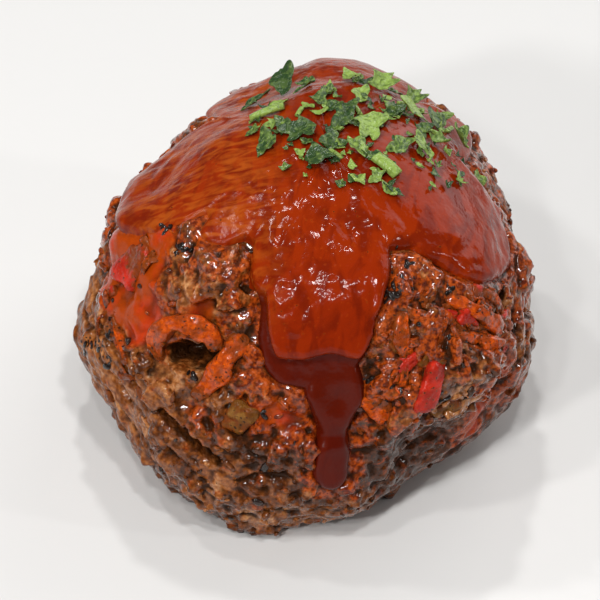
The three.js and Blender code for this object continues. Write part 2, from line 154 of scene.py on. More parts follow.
def profile(climb):
    """Radius share and height at a climb."""
    low = climb < FLARE_SHARE
    flare = np.clip(climb / FLARE_SHARE, 0, 1)
    angle = np.clip((climb - FLARE_SHARE) / (1 - FLARE_SHARE), 0, 1) * math.pi / 2
    radius = np.where(low, mix(FOOT_SHARE, 1, np.sin(flare * math.pi / 2)),
                      np.maximum(0, np.cos(angle)) ** (2 / DOME_SIDE))
    height = np.where(low, flare * WIDEST_LEVEL,
                      mix(WIDEST_LEVEL, HEIGHT, np.sin(angle) ** (2 / DOME_RISE)))
    return radius, height


def climb_at(height):
    """The climb of a height."""
    low = height < WIDEST_LEVEL
    share = np.clip((height - WIDEST_LEVEL) / (HEIGHT - WIDEST_LEVEL), 0, 1)
    angle = np.arcsin(share ** (DOME_RISE / 2))
    return np.where(low, height / WIDEST_LEVEL * FLARE_SHARE,
                    mix(FLARE_SHARE, 1, angle / (math.pi / 2)))


def smooth_point(turn, climb):
    """Points of the smooth form."""
    radius, height = profile(climb)
    rise = height / HEIGHT
    lean = rise ** LEAN_POWER
    share = radius * plan_factor(turn, rise)
    return np.stack([CROWN_SHIFT[0] * lean + WIDTH / 2 * share * np.sin(turn),
                     CROWN_SHIFT[1] * lean - DEPTH / 2 * share * np.cos(turn), height], axis=-1)


def smooth_normal(turn, climb):
    """Outward normals of the smooth form."""
    step = NORMAL_STEP
    across = smooth_point(turn + step, climb) - smooth_point(turn - step, climb)
    up = (smooth_point(turn, np.minimum(climb + step, 1))
          - smooth_point(turn, np.maximum(climb - step, 0)))
    normal = np.cross(across, up)
    normal[climb > 1 - step] = (0, 0, 1)
    return normal / np.linalg.norm(normal, axis=-1, keepdims=True)


def turn_of(points):
    """The turn of points near the loaf's surface."""
    lean = np.clip(points[:, 2] / HEIGHT, 0, 1) ** LEAN_POWER
    return np.arctan2((points[:, 0] - CROWN_SHIFT[0] * lean) / WIDTH,
                      -(points[:, 1] - CROWN_SHIFT[1] * lean) / DEPTH)


# ---------------------------------------------------------------- sauce's edge and depth, mm

# Lobes of the sauce: direction and half width in degrees, drop, and how square each one is.
LOBES = ((0, 22, 19.5, 4), (0, 32, 14, 1.6), (-48, 11, 1.8, 2), (-95, 35, 14, 2),
         (80, 37, 15.5, 1.4), (127, 21, 11, 2), (167, 24, 21, 3), (-150, 27, 13, 2.4))
SAUCE_REST_EDGE = 55.0      # height of its edge between the lobes
SAUCE_THIN = 1.3            # depth where it has run thin, at the upper left
SAUCE_FULL = 2.1            # usual depth
SAUCE_FLOW = 1.9            # added depth in the front flow
SAUCE_LIP = 2.1             # width of the rounding at its edge
SAUCE_BED = 1.2             # how far the meat lies back under it
SAUCE_SWELL = 4             # distance from the edge at which its waves are full
SKIN_GAP = 0.32             # distance of its under side from the meat
DIVE_SLOPE = 1.1
FAR_OUTSIDE = -4.0
EDGE_STEP = 1.5 * DEGREE
THIN_SIDE = (4, 16)         # from here to there it runs thin towards the left
THIN_LEVELS = (44, 52)

# The front flow: its middle in degrees, degrees to each side, and heights.
FLOW_TURN = 2
FLOW_SIDES = (20, 34)
FLOW_TOP = (51, 58)
FLOW_LIP = 41.6
LIP_EDGE = (-0.2, 1.5)
LIP_SIDES = (12, 22)
LIP_RISE = 7.0              # how much higher the lip is at its sides
LIP_WAVE = 0.6
LIP_WAVES = 11              # to a full turn
LIP_CRAG = (0.5, 3.4, 74)
LIP_OVERHANG = 1.7
UNDER_SIDES = (22, 34)
UNDER_LEVELS = (30, 36)
UNDER_LIP = 0.5             # how much thinner it is under the lip

DRIP_TOP = 36.0
DRIP_TIP = 15.0
DRIP_TURNS = (7.4, 8.0)
DRIP_WIDE = 6.0
DRIP_NARROW = 3.5

# Waves and ripples of the sauce: height, pitch and seed.
SAUCE_WAVES = ((0.40, 9.5, 71), (0.14, 4.6, 72))
SAUCE_RIPPLES = ((0.42, 2.6, 73), (0.17, 1.5, 76))
RIPPLED = (0.15, 1.15)      # least and most share of the ripples


def sauce_edge(turn):
    """Height of the sauce's lower edge in a direction."""
    degrees = turn / DEGREE
    drop = np.zeros_like(turn)
    for at, half, reach, square in LOBES:
        away = np.abs((degrees - at + 540) % 360 - 180) / half
        drop = np.maximum(drop, np.where(away < 1, reach * (1 - np.minimum(away, 1) ** square), 0))
    return SAUCE_REST_EDGE - drop


def inside_sauce(points, turn):
    """How far inside the sauce's edge points lie; negative outside."""
    radius = np.hypot(points[:, 0], points[:, 1]) + TINY
    slope = (sauce_edge(turn + EDGE_STEP) - sauce_edge(turn - EDGE_STEP)) / (2 * EDGE_STEP * radius)
    in_lobes = (points[:, 2] - sauce_edge(turn)) / np.hypot(1, slope)
    fall = np.clip((DRIP_TOP - points[:, 2]) / (DRIP_TOP - DRIP_TIP), 0, 1)
    half = mix(DRIP_WIDE, DRIP_NARROW, ramp(fall * 2, 0, 1))
    aside = (turn - mix(DRIP_TURNS[0], DRIP_TURNS[1], fall) * DEGREE) * radius
    beyond = np.maximum(0, np.maximum(points[:, 2] - DRIP_TOP, DRIP_TIP + DRIP_NARROW - points[:, 2]))
    return np.maximum(np.maximum(in_lobes, half - np.hypot(aside, beyond)), FAR_OUTSIDE)


def beside_flow(turn):
    """Degrees from the middle of the front flow."""
    return np.abs(turn / DEGREE - FLOW_TURN)


def lip_level(points, turn):
    """Height of the rounded lower lip of the sauce's front flow: lowest in its middle."""
    return (FLOW_LIP + LIP_RISE * ramp(beside_flow(turn), *LIP_SIDES)
            + LIP_WAVE * np.sin(turn * LIP_WAVES) + crags(points, LIP_CRAG))


def sauce_depth(points, turn, inside):
    """Depth of the sauce over the meat; outside its edge it dives below the meat."""
    lip = np.sqrt(1 - (1 - np.clip(inside / SAUCE_LIP, 0, 1)) ** 2)
    aside = beside_flow(turn)
    level = lip_level(points, turn)
    over_lip = ramp(points[:, 2], level + LIP_EDGE[0], level + LIP_EDGE[1])
    flow = over_lip * (1 - ramp(aside, *FLOW_SIDES)) * (1 - ramp(points[:, 2], *FLOW_TOP))
    under_lip = (1 - over_lip) * (1 - ramp(aside, *UNDER_SIDES)) * ramp(points[:, 2], *UNDER_LEVELS)
    thinned = ramp(-points[:, 0], *THIN_SIDE) * ramp(points[:, 2], *THIN_LEVELS)
    full = mix(SAUCE_FULL, SAUCE_THIN, thinned) + SAUCE_FLOW * flow - UNDER_LIP * under_lip
    rippled = np.clip(RIPPLED[0] + spotted(points, RIPPLE_SPOTS), 0, RIPPLED[1])
    waves = crags(points, *SAUCE_WAVES) + rippled * crags(points, *SAUCE_RIPPLES)
    return np.where(inside < 0, inside * DIVE_SLOPE,
                    lip * (full + waves * ramp(inside, 0, SAUCE_SWELL)))


# ---------------------------------------------------------------- relief of the meat, mm

# Swellings and hollows of the meat: place, reach and push along the surface's normal.
SWELLINGS = (
    ((-37, -11, 18), 8, 0.4), ((-37, -15, 33), 7, -1.3), ((-33, -12, 44), 6, 1.6),
    ((-34, 1, 42), 6, 1.0), ((-27, -2, 51), 8, -1.4), ((-18, 21, 45), 9, 1.7),
    ((-9, 17, 55), 7, -1.5), ((3, 29, 51), 10, 1.0), ((15, 19, 54), 6, -1.0),
    ((26, 20, 44), 8, 2.0), ((31, 6, 43), 7, -0.9), ((35, -14, 33), 5, -2.4),
    ((36, -13, 24), 7, 2.2), ((-25, -22, 50), 3.4, 1.3), ((-20, -28, 50), 3.2, 1.0),
    ((-15, -30, 50), 3.2, 1.4), ((-21, -30, 46), 3.4, 1.2), ((-14, -33, 47), 3.0, 1.0),
    ((20, -36, 38), 8, 2.0), ((28, -29, 36), 7, 1.6), ((24, -33, 17), 9, -2.6),
    ((4, -41, 26), 9, -1.6), ((-27, -33, 31), 5, 1.4), ((-6, -38, 4), 8, 2.0),
    ((10, -40, 8), 6, 1.4), ((17, -35, 9), 6, -1.2), ((-33, -26, 14), 7, -1.3),
    ((-31, 24, 20), 9, 1.6), ((-38, 9, 27), 8, -1.2), ((-14, 38, 30), 7, 1.3),
    ((2, 42, 18), 8, -1.4), ((20, 37, 24), 8, 1.8), ((35, 21, 20), 8, 1.4),
    ((37, 6, 31), 6, -1.2),
)
SKIRT_LEVEL = 26.0
SKIRT_TILT = 4.5            # how much higher the skirt's edge is at the left
SKIRT_TILT_TURN = 10 * DEGREE
SKIRT_WAVE = 1.6
SKIRT_STEP = 1.1            # how far the skirt stands proud
SKIRT_EDGE = (-1.5, 1.5)
ABOVE_SKIRT = (-1, 2)
# Crags of the main relief: height under the sauce and bare, or on the skirt and above it.
BROAD_HEIGHTS, BROAD_CRAG = (0.4, 1.1), (10, 3)
MIDDLE_HEIGHTS, MIDDLE_CRAG = (0.5, 1.5), (5.6, 11)
BARE_LEVELS = (-2, 3)       # round the sauce's edge
BARE_GAP = (-1.5, 0.5)

# Cracks in the baked skirt: (direction, height) stations, width and depth.
CRACKS = (
    (((-66, 29), (-58, 29.5), (-50, 28.5), (-42, 25.5), (-33, 24), (-27, 21.5), (-21, 19.5)), 2.3, 3.0),
    (((-78, 24), (-69, 25.5), (-62, 25), (-56, 23), (-50, 20.5)), 1.4, 1.6),
    (((-62, 19), (-52, 17.5), (-42, 14), (-34, 13)), 1.0, 1.0),
    (((-44, 21.5), (-36, 18.5), (-29, 17.5), (-22, 14)), 1.1, 1.1),
    (((-16, 16), (-8, 17.5), (0, 15), (3, 12)), 1.2, 1.3),
    (((14, 14), (22, 12.5), (30, 14), (38, 12)), 1.2, 1.2),
    (((30, 26), (38, 24), (46, 24.5), (54, 22)), 1.3, 1.5),
    (((88, 24), (99, 22), (110, 23.5), (122, 21)), 1.4, 1.5),
    (((140, 17), (152, 19), (163, 16.5), (175, 18)), 1.2, 1.2),
    (((-160, 24), (-148, 22.5), (-138, 25), (-128, 23)), 1.5, 1.7),
    (((-112, 17), (-102, 18.5), (-92, 16.5)), 1.1, 1.1),
)
CRACK_RAGGED = (0.55, 2.4, 31)      # reach, pitch and seed of the cracks' ragged sides
# Lumps of the meat: pitch, seed, and height on the plain skirt and where it is crumbly.
LUMP_SIZES = ((5.4, 25, 0.25, 2.1), (2.9, 29, 0.22, 1.5), (1.7, 33, 0.12, 0.8))
LUMP_LEVEL = 0.6            # share of a lump's height that lies below the relief
GNARLS = ((1.5, 4.4, 35), (0.55, 1.5, 38))
SMALL_HEIGHTS, SMALL_CRAG = (0.34, 0.30), (3.1, 21)
# Folds in the plain skirt: pitch, depth and width.
FOLDS = ((7.5, 0.85, 0.15), (3.9, 0.42, 0.20))
FOLD_STRETCH = (1, 1, 2.1)
FOLD_SEED = 23
PLAINER_BY_VEGETABLES = 0.85
PLAINER_UNDER_FILM = 0.75
FILM_CRAG = (0.25, 3.0, 77)
FILM_EDGE = (0.25, 0.75)
HOLLOW_PLACE = (-34, 36.8)
HOLLOW_SIZE = (11.6, 5.4, 6.5)      # across, upwards, deep
HOLLOW_ROLL = 14
HOLLOW_CLEAR = 0.62         # share of its width within which no crumbs lie

# How crumbly the foot is at the front and the back, and the plainer bulge at the left.
FRONT_CRUMBLY, FRONT_REACH, FRONT_AIM = 0.9, (0.70, 0.95), 0.1
BACK_CRUMBLY, BACK_REACH = 0.45, (-0.1, 0.3)
BULGE_PLACE = (-70, 44)
BULGE_REACH = (15, 9)
BULGE_PLAINER = 0.75

# Strips of carrot: (direction, height, lift off the meat) stations, width and thickness.
CARROT_STRIPS = (
    (((-42.5, 33.2, 0.1), (-45.2, 37.2, 1.3), (-43, 41.0, 2.1), (-37, 42.4, 2.3), (-31.5, 41.6, 1.7),
      (-28, 39.0, 0.2)), 3.6, 2.2),
    (((-21.5, 43, 0.2), (-24.5, 39, 1.0), (-27, 34.5, 1.0), (-31, 29, 0.0)), 4.0, 2.4),
    (((-64, 33, 0.2), (-57, 31.5, 0.7), (-50, 29.5, 0.1)), 1.9, 1.8),
    (((46, 47.5, 0.3), (52, 43.5, 1.1), (58, 38.5, 0.9), (62, 34, 0.1)), 3.0, 1.9),
    (((29, 48, 0.3), (27, 44.5, 0.8), (29, 40, 0.2)), 2.7, 2.0),
    (((41, 42, 0.2), (47, 40.5, 0.9), (53, 37.5, 0.2)), 2.2, 1.6),
    (((56, 46, 0.2), (62, 42, 0.9), (66, 37, 0.2)), 1.8, 1.5),
    (((36, 48, 0.2), (42, 45.5, 0.8), (46, 42, 0.1)), 1.6, 1.4),
)
# Chunks: direction, height, (across, upwards, out), roll and lift.
CARROT_CHUNKS = ((53, 36.5, (5.2, 3.4, 3.4), -35, 0.4), (20, 31.5, (5.0, 7.6, 3.6), 24, 0.1),
                 (97, 28, (4.0, 7.4, 3.4), -18, 0.4))
PEPPER_CHUNKS = ((33, 35.5, (3.8, 8.2, 3.8), -25, 0.5), (-66, 43.5, (7.0, 8.0, 3.2), 8, -0.45),
                 (-112, 31, (6.4, 3.8, 3.4), 12, 0.4))
CELERY_CHUNKS = ((-18, 28.5, (4.6, 6.4, 3.6), -28, 0.0), (150, 29, (5.2, 7.0, 3.6), 25, 0.4),
                 (39, 28.5, (5.8, 4.0, 3.6), 20, 0.4))
# The meat is plainer within a share of a strip's width or a chunk's reach, and a margin more.
STRIP_SHARE, STRIP_MARGIN = 0.45, 1.8
CHUNK_SHARE, CHUNK_MARGIN = 0.8, 1.5


def skirt_level(turn):
    """Height up to which the baked skirt stands proud of the crumbly meat above it."""
    return SKIRT_LEVEL + SKIRT_TILT * np.sin(-turn - SKIRT_TILT_TURN) + SKIRT_WAVE * np.sin(5 * turn)


def beside_skirt(points, turn, reach):
    """0 on the skirt, 1 above it, and smooth within this reach of its upper edge."""
    level = skirt_level(turn)
    return ramp(points[:, 2], level + reach[0], level + reach[1])


def bare_share(inside):
    """1 where the meat is bare, 0 under the sauce."""
    return 1 - ramp(inside, *BARE_GAP)


def relief(points, turn):
    """Height of the meat's main relief over the smooth form."""
    height = np.zeros(len(points))
    for at, reach, push in SWELLINGS:
        height += push * np.exp(-((points - np.array(at)) ** 2).sum(axis=1) / reach ** 2)
    height += SKIRT_STEP * (0.5 - beside_skirt(points, turn, SKIRT_EDGE))
    edge = sauce_edge(turn)
    bare = 1 - ramp(points[:, 2], edge + BARE_LEVELS[0], edge + BARE_LEVELS[1])
    crumbly = beside_skirt(points, turn, ABOVE_SKIRT)
    height += mix(*BROAD_HEIGHTS, bare) * crag(points, *BROAD_CRAG)
    height += bare * mix(*MIDDLE_HEIGHTS, crumbly) * crag(points, *MIDDLE_CRAG)
    return height - SAUCE_BED * (1 - bare)


def surface_at(turn_degrees, height):
    """The place on the meat's main relief in a direction at a height, and the normal there."""
    turn = np.array([turn_degrees * DEGREE])
    climb = climb_at(np.array([float(height)]))
    point = smooth_point(turn, climb)
    normal = smooth_normal(turn, climb)
    return (point + normal * relief(point, turn)[:, None])[0], normal[0]


def surface_frame(turn_degrees, height, roll=0.0):
    """Place, across, upwards and outward directions on the meat, turned about the outward one."""
    place, out = surface_at(turn_degrees, height)
    up = np.array([0, 0, 1.0]) - out * out[2]
    up /= np.linalg.norm(up)
    across = np.cross(up, out)
    lean = roll * DEGREE
    return (place, across * math.cos(lean) + up * math.sin(lean),
            up * math.cos(lean) - across * math.sin(lean), out)


def away_from_line(points, stations):
    """Distance of points from a line through places on the meat."""
    corners = [surface_at(turn, height)[0] for turn, height in stations]
    nearest = np.full(len(points), 1e9)
    for start, end in zip(corners, corners[1:]):
        along = end - start
        share = np.clip(((points - start) @ along) / (along @ along), 0, 1)
        nearest = np.minimum(nearest, np.linalg.norm(points - start - share[:, None] * along, axis=1))
    return nearest


def wander(points, reach, pitch, seed):
    """Points shifted about at random, so that what follows them turns ragged."""
    return points + reach * np.stack([crag(points, pitch, seed + n) for n in range(3)], axis=1)


def gnarled(points):
    """Points shifted about so that lumps laid out by them turn ragged and drawn out."""
    for gnarl in GNARLS:
        points = wander(points, *gnarl)
    return points


def away_from_cracks(points):
    """Distance of points from the middle of each crack, with the crack's width and depth."""
    ragged = wander(points, *CRACK_RAGGED)
    return [(away_from_line(ragged, stations), width, depth) for stations, width, depth in CRACKS]


def by_hollow(points):
    """Whether points are in the hollow under the carrot curl or close to it."""
    away = np.linalg.norm(points - surface_at(*HOLLOW_PLACE)[0], axis=1)
    return away < HOLLOW_SIZE[0] * HOLLOW_CLEAR


def crumbliness(points, turn):
    """How crumbly the bare meat is: fully above the skirt, nearly so at the foot of the front."""
    above = beside_skirt(points, turn, ABOVE_SKIRT)
    front_foot = FRONT_CRUMBLY * ramp(np.cos(turn + FRONT_AIM), *FRONT_REACH)
    back = BACK_CRUMBLY * ramp(-np.cos(turn), *BACK_REACH)
    bulge = np.exp(-((turn / DEGREE - BULGE_PLACE[0]) / BULGE_REACH[0]) ** 2
                   - ((points[:, 2] - BULGE_PLACE[1]) / BULGE_REACH[1]) ** 2)
    return np.maximum(above, np.maximum(front_foot, back)) * (1 - BULGE_PLAINER * bulge)


def film_over(points):
    """How far a film of sauce covers the meat at points, 0 to 1."""
    return ramp(spotted(points, FILM_SPOTS) + crags(points, FILM_CRAG), *FILM_EDGE)


def near_vegetables(points):
    """How near points are to the larger strips and chunks, 0 to 1; the meat is plainer there."""
    near = np.zeros(len(points))
    for stations, width, _thick in CARROT_STRIPS:
        line = [(turn, height) for turn, height, _lift in stations]
        own = width * STRIP_SHARE
        near = np.maximum(near, 1 - ramp(away_from_line(points, line), own, own + STRIP_MARGIN))
    for turn, height, size, _roll, _lift in (*CARROT_CHUNKS, *PEPPER_CHUNKS, *CELERY_CHUNKS):
        away = np.linalg.norm(points - surface_at(turn, height)[0], axis=1)
        reach = (size[0] + size[1]) / 4
        near = np.maximum(near, 1 - ramp(away, reach * CHUNK_SHARE, reach + CHUNK_MARGIN))
    return near


def meat_height(points, turn):
    """Height of the meat's whole relief, with its lumps, finer crags, cracks and hollow."""
    bare = bare_share(inside_sauce(points, turn))
    crumbly = crumbliness(points, turn)
    height = relief(points, turn)
    surface = points + smooth_normal(turn, climb_at(points[:, 2])) * height[:, None]
    bumpy = gnarled(surface)
    open_meat = (bare * (1 - PLAINER_BY_VEGETABLES * near_vegetables(surface))
                 * (1 - PLAINER_UNDER_FILM * film_over(surface)))
    for pitch, seed, plain, rough in LUMP_SIZES:
        height += open_meat * mix(plain, rough, crumbly) * (lumps(bumpy, pitch, seed)[0] - LUMP_LEVEL)
    height += open_meat * mix(*SMALL_HEIGHTS, crumbly) * crag(points, *SMALL_CRAG)
    for pitch, depth, width in FOLDS:
        folds = np.abs(crag(surface * FOLD_STRETCH, pitch, FOLD_SEED))
        height -= depth * bare * (1 - crumbly) * np.maximum(0, 1 - folds / width)
    for away, width, depth in away_from_cracks(surface):
        height -= depth * np.maximum(0, 1 - (away / (width / 2)) ** 2)
    place, across, up, _out = surface_frame(*HOLLOW_PLACE, HOLLOW_ROLL)
    ragged = wander(surface, *CRACK_RAGGED) - place
    gap = np.hypot(ragged @ across / HOLLOW_SIZE[0], ragged @ up / HOLLOW_SIZE[1]) * 2
    near = np.linalg.norm(ragged, axis=1) < HOLLOW_SIZE[0]
    height -= near * HOLLOW_SIZE[2] * np.sqrt(np.maximum(0, 1 - gap ** 2))
    return height


# Soft spots on the meat: direction, height, reach, strength.
STAIN_SPOTS = (
    (-70, 45, 6, 1.0), (-62, 42, 6, 0.9), (-74, 38, 6, 0.7), (-56, 40, 5, 0.45), (-43, 39, 4, 0.5),
    (-12, 32, 5, 0.8), (-5, 30, 5, 0.9), (-22, 42, 3.5, 0.5), (20, 34, 5, 0.75), (27, 38, 4, 0.6),
    (36, 44, 6, 0.7), (48, 42, 7, 0.7), (57, 34, 6, 0.7), (58, 26, 5, 1.2), (57, 21, 4, 1.2),
    (52, 15, 4, 0.9), (12, 26, 5, 0.6), (14, 18, 4, 0.5), (30, 52, 4, 0.35), (84, 33, 7, 0.8),
    (104, 38, 7, 0.7), (132, 35, 7, 0.6), (165, 27, 7, 0.9), (-168, 33, 6, 0.5), (-140, 34, 7, 0.7),
    (-112, 36, 7, 0.8), (-95, 36, 6, 0.8), (68, 17, 4, 0.7), (-26, 27, 3.5, 0.5), (31, 27, 4, 0.4),
)
# Spots that shift the meat's tint; the dark ones low at the right are painted shade.
TONE_AND_SHADE_SPOTS = (
    (-18, 12, 9, 0.3), (-8, 8, 9, 0.4), (6, 7, 8, 0.35), (-30, 9, 8, 0.2), (43, 30, 4.5, 0.6),
    (38, 28, 4, 0.5), (48, 29, 4, 0.4), (24, 41, 3.5, 0.5), (32, 53, 4, 0.4), (-62, 21, 9, 0.36),
    (-46, 20, 8, 0.26), (-37, 32, 4, 0.60), (-45, 50, 6, 0.10), (-38, 48, 6, 0.35), (19, 22, 6, -0.5),
    (27, 17, 8, -0.6), (38, 17, 8, -0.6), (48, 12, 8, -0.5), (62, 10, 8, -0.5), (-5, 23, 5, -0.5),
    (-14, 25, 4, -0.5), (-30, 20, 4, -0.3), (80, 12, 10, -0.3), (-63, 51, 3, -0.5), (30, 51, 2.5, -0.9),
    (34, 51, 2.2, -0.7), (150, 12, 12, 0.3), (-150, 12, 12, 0.3), (-110, 14, 10, 0.25), (110, 14, 10, 0.2),
)
CHAR_SPOTS = (
    (-64, 51, 1.5, 1.0), (-55, 50.5, 1.2, 0.9), (-62, 27.5, 2.4, 1.0), (-66, 24.5, 1.8, 0.9),
    (-58, 30.5, 1.6, 0.7), (30, 51, 1.9, 1.0), (34, 51.5, 1.4, 1.0), (36, 53, 1.2, 0.8),
    (41, 46, 1.2, 0.8), (27, 38, 1.5, 0.8), (46, 41, 1.3, 0.7), (-38, 42.5, 0.9, 0.8),
    (-46, 38.5, 0.9, 0.8), (-33, 33, 1.1, 0.7), (-14, 30, 1.2, 0.7), (36, 32, 1.1, 0.7),
    (-68, 22, 1.8, 1.0), (-57, 25.5, 2.0, 1.0), (-62, 32, 1.2, 0.9), (-54, 50, 1.3, 0.9),
    (26, 50, 1.6, 1.0), (48, 47.5, 1.3, 0.9), (34, 46, 1.2, 0.9), (28, 43.5, 1.2, 0.8),
    (40, 41, 1.2, 0.9), (18, 37, 1.5, 0.9), (24, 36, 1.5, 0.9), (58, 39, 1.3, 0.9),
    (100, 36, 1.8, 0.8), (138, 30, 1.6, 0.8), (-172, 26, 1.8, 0.8), (-125, 33, 1.6, 0.8),
)
# Places where a glossy film of sauce covers the meat and fills its creases.
FILM_SPOTS = (
    (-72, 47, 7, 1.0), (-63, 46, 6, 0.9), (-76, 40, 7, 1.0), (-66, 39, 5, 0.8), (-82, 46, 6, 0.8),
    (-10, 31, 4, 0.6), (-4, 28, 4, 0.6), (58, 27, 3.5, 1.0), (57, 22, 3.5, 1.0), (53, 16, 3.5, 0.9),
    (66, 33, 4, 0.6), (-37, 45.4, 3.0, 1.0), (-58, 42, 5, 0.9), (-53, 39, 4, 0.9), (-64, 37, 5, 0.7),
    (-52, 35.5, 3, 0.6), (100, 30, 6, 0.7), (-120, 32, 7, 0.8), (172, 24, 6, 0.8),
)
# Places where less painted shade darkens the meat although it lies low.
LESS_SHADE_SPOTS = ((-32, 29, 3.2, 0.8), (-38, 32, 3.0, 0.4))
# Charred flakes that lie on the sauce.
SAUCE_FLAKES = (
    (-66, 59.0, 0.9, 1.0), (46, 57.5, 1.4, 1.0), (34, 54.5, 1.2, 1.0), (-65, 50.8, 1.0, 1.0),
    (120, 55.0, 1.4, 1.0), (-140, 55.0, 1.4, 1.0), (175, 48.0, 1.2, 1.0),
)
# Places where the sauce's surface is rippled.
RIPPLE_SPOTS = (
    (-44, 58.5, 6, 1.0), (-32, 56, 6, 1.0), (-20, 52.5, 5, 1.0), (8, 57, 5, 1.0), (14, 55, 5, 0.9),
    (-12, 46.5, 5, 1.1), (-18, 49, 4.5, 1.1), (-35, 53, 4, 0.6), (31, 57, 4, 0.9), (62, 50, 4, 0.6),
    (13, 50, 3.5, 0.9), (0, 60.5, 5, 0.8), (-10, 43.5, 4.5, 1.0), (14, 53, 4, 1.0), (36, 59, 4, 0.8),
    (75, 44, 5, 0.7), (100, 50, 6, 0.7), (140, 52, 6, 0.7), (170, 46, 6, 0.7), (-150, 50, 6, 0.7),
    (-100, 48, 6, 0.6),
)


def spotted(points, spots):
    """Sum of soft spots at places on the meat."""
    total = np.zeros(len(points))
    for turn, height, reach, strength in spots:
        centre, _normal = surface_at(turn, height)
        total += strength * np.exp(-((points - centre) ** 2).sum(axis=1) / reach ** 2)
    return total


# ---------------------------------------------------------------- working on meshes

def select_only(piece):
    """Make a piece the only one selected, and the active one."""
    bpy.ops.object.select_all(action="DESELECT")
    piece.select_set(True)
    bpy.context.view_layer.objects.active = piece


def edit_all(operator, **settings):
    """Run an edit mode operator on the whole of the active piece."""
    bpy.ops.object.mode_set(mode="EDIT")
    bpy.ops.mesh.select_all(action="SELECT")
    operator(**settings)
    bpy.ops.object.mode_set(mode="OBJECT")


def add_sphere(name, around, rings, cuts=0):
    """A unit sphere with its poles on the Z axis, each facet cut finer, to be moulded."""
    bpy.ops.object.select_all(action="DESELECT")
    bpy.ops.mesh.primitive_uv_sphere_add(segments=around, ring_count=rings, radius=1)
    piece = bpy.context.active_object
    piece.name = piece.data.name = name
    if cuts:
        edit_all(bpy.ops.mesh.subdivide, number_cuts=cuts)
    return piece


def add_ball(fineness):
    """A unit ball of even facets, to be moulded or copied."""
    bpy.ops.object.select_all(action="DESELECT")
    bpy.ops.mesh.primitive_ico_sphere_add(subdivisions=fineness, radius=1)
    return bpy.context.active_object


def vertex_rows(piece, label):
    """Three numbers for each vertex."""
    flat = np.empty(len(piece.data.vertices) * 3)
    piece.data.vertices.foreach_get(label, flat)
    return flat.reshape(-1, 3)


def places_of(piece):
    """The vertices' places."""
    return vertex_rows(piece, "co")


def normals_of(piece):
    """The vertices' normals."""
    return vertex_rows(piece, "normal")


def move_to(piece, places):
    """Put each vertex at its new place."""
    piece.data.vertices.foreach_set("co", np.ascontiguousarray(places, dtype=float).ravel())
    piece.data.update()


def store(piece, name, values):
    """Keep a value for each vertex, for the material to read."""
    attribute = piece.data.attributes.new(name, "FLOAT", "POINT")
    attribute.data.foreach_set("value", np.ascontiguousarray(values, dtype=np.float32))


def stored(piece, name):
    """A value kept for each vertex."""
    values = np.empty(len(piece.data.vertices), dtype=np.float32)
    piece.data.attributes[name].data.foreach_get("value", values)
    return values


def on_loaf(piece):
    """The vertices' places in millimetres from the loaf's own axis."""
    return places_of(piece) / MM - AXIS_PLACE


def from_loaf(points):
    """Places in metres from places in millimetres from the loaf's own axis."""
    return (points + AXIS_PLACE) * MM


def shares_of(piece):
    """Share of the way from the top pole to the bottom pole, and turn, of a unit sphere's vertices."""
    places = places_of(piece)
    down = np.arctan2(np.hypot(places[:, 0], places[:, 1]), places[:, 2])
    return down / math.pi, np.arctan2(places[:, 0], -places[:, 1])


def finish_modifier(piece, kind, **settings):
    """Add a modifier with these settings and apply it."""
    select_only(piece)
    modifier = piece.modifiers.new(kind.title(), kind)
    for name, value in settings.items():
        setattr(modifier, name, value)
    bpy.ops.object.modifier_apply(modifier=modifier.name)


def join_pieces(pieces):
    """Join pieces into the first of them."""
    bpy.ops.object.select_all(action="DESELECT")
    for piece in pieces:
        piece.select_set(True)
    bpy.context.view_layer.objects.active = pieces[0]
    bpy.ops.object.join()
    return pieces[0]


def copies_of(name, templates, chosen, frames, values=None):
    """One mesh of many copies: frames are 4 x 3 rows of two side directions, an out one and a place."""
    shapes = [(places_of(shape), [tuple(face.vertices) for face in shape.data.polygons])
              for shape in templates]
    corners, faces, start = [], [], 0
    for number, rows in zip(chosen, frames):
        places, outline = shapes[number]
        corners.append(places @ rows[:3] + rows[3])
        faces.extend(tuple(corner + start for corner in face) for face in outline)
        start += len(places)
    mesh = bpy.data.meshes.new(name)
    mesh.from_pydata(np.concatenate(corners), [], faces)
    piece = bpy.data.objects.new(name, mesh)
    bpy.context.collection.objects.link(piece)
    sizes = [len(shapes[number][0]) for number in chosen]
    for label, listed in (values or {}).items():
        store(piece, label, np.repeat(listed, sizes))
    return piece


def discard(pieces):
    """Remove shapes that were only copied from."""
    for piece in pieces:
        bpy.data.meshes.remove(piece.data)


def smooth_shaded(piece):
    """Shade a piece smooth."""
    select_only(piece)
    bpy.ops.object.shade_smooth()


def neighbour_mean(piece, values, rounds):
    """Values evened out over neighbouring vertices, a number of rounds."""
    ends = np.empty(len(piece.data.edges) * 2, dtype=np.int64)
    piece.data.edges.foreach_get("vertices", ends)
    ends = ends.reshape(-1, 2)
    count = len(piece.data.vertices)
    valence = np.bincount(ends.ravel(), minlength=count)
    for _round in range(rounds):
        columns = [np.bincount(ends[:, 0], column[ends[:, 1]], count)
                   + np.bincount(ends[:, 1], column[ends[:, 0]], count) for column in values.T]
        values = np.stack(columns, axis=1) / valence[:, None]
    return values


# ---------------------------------------------------------------- materials

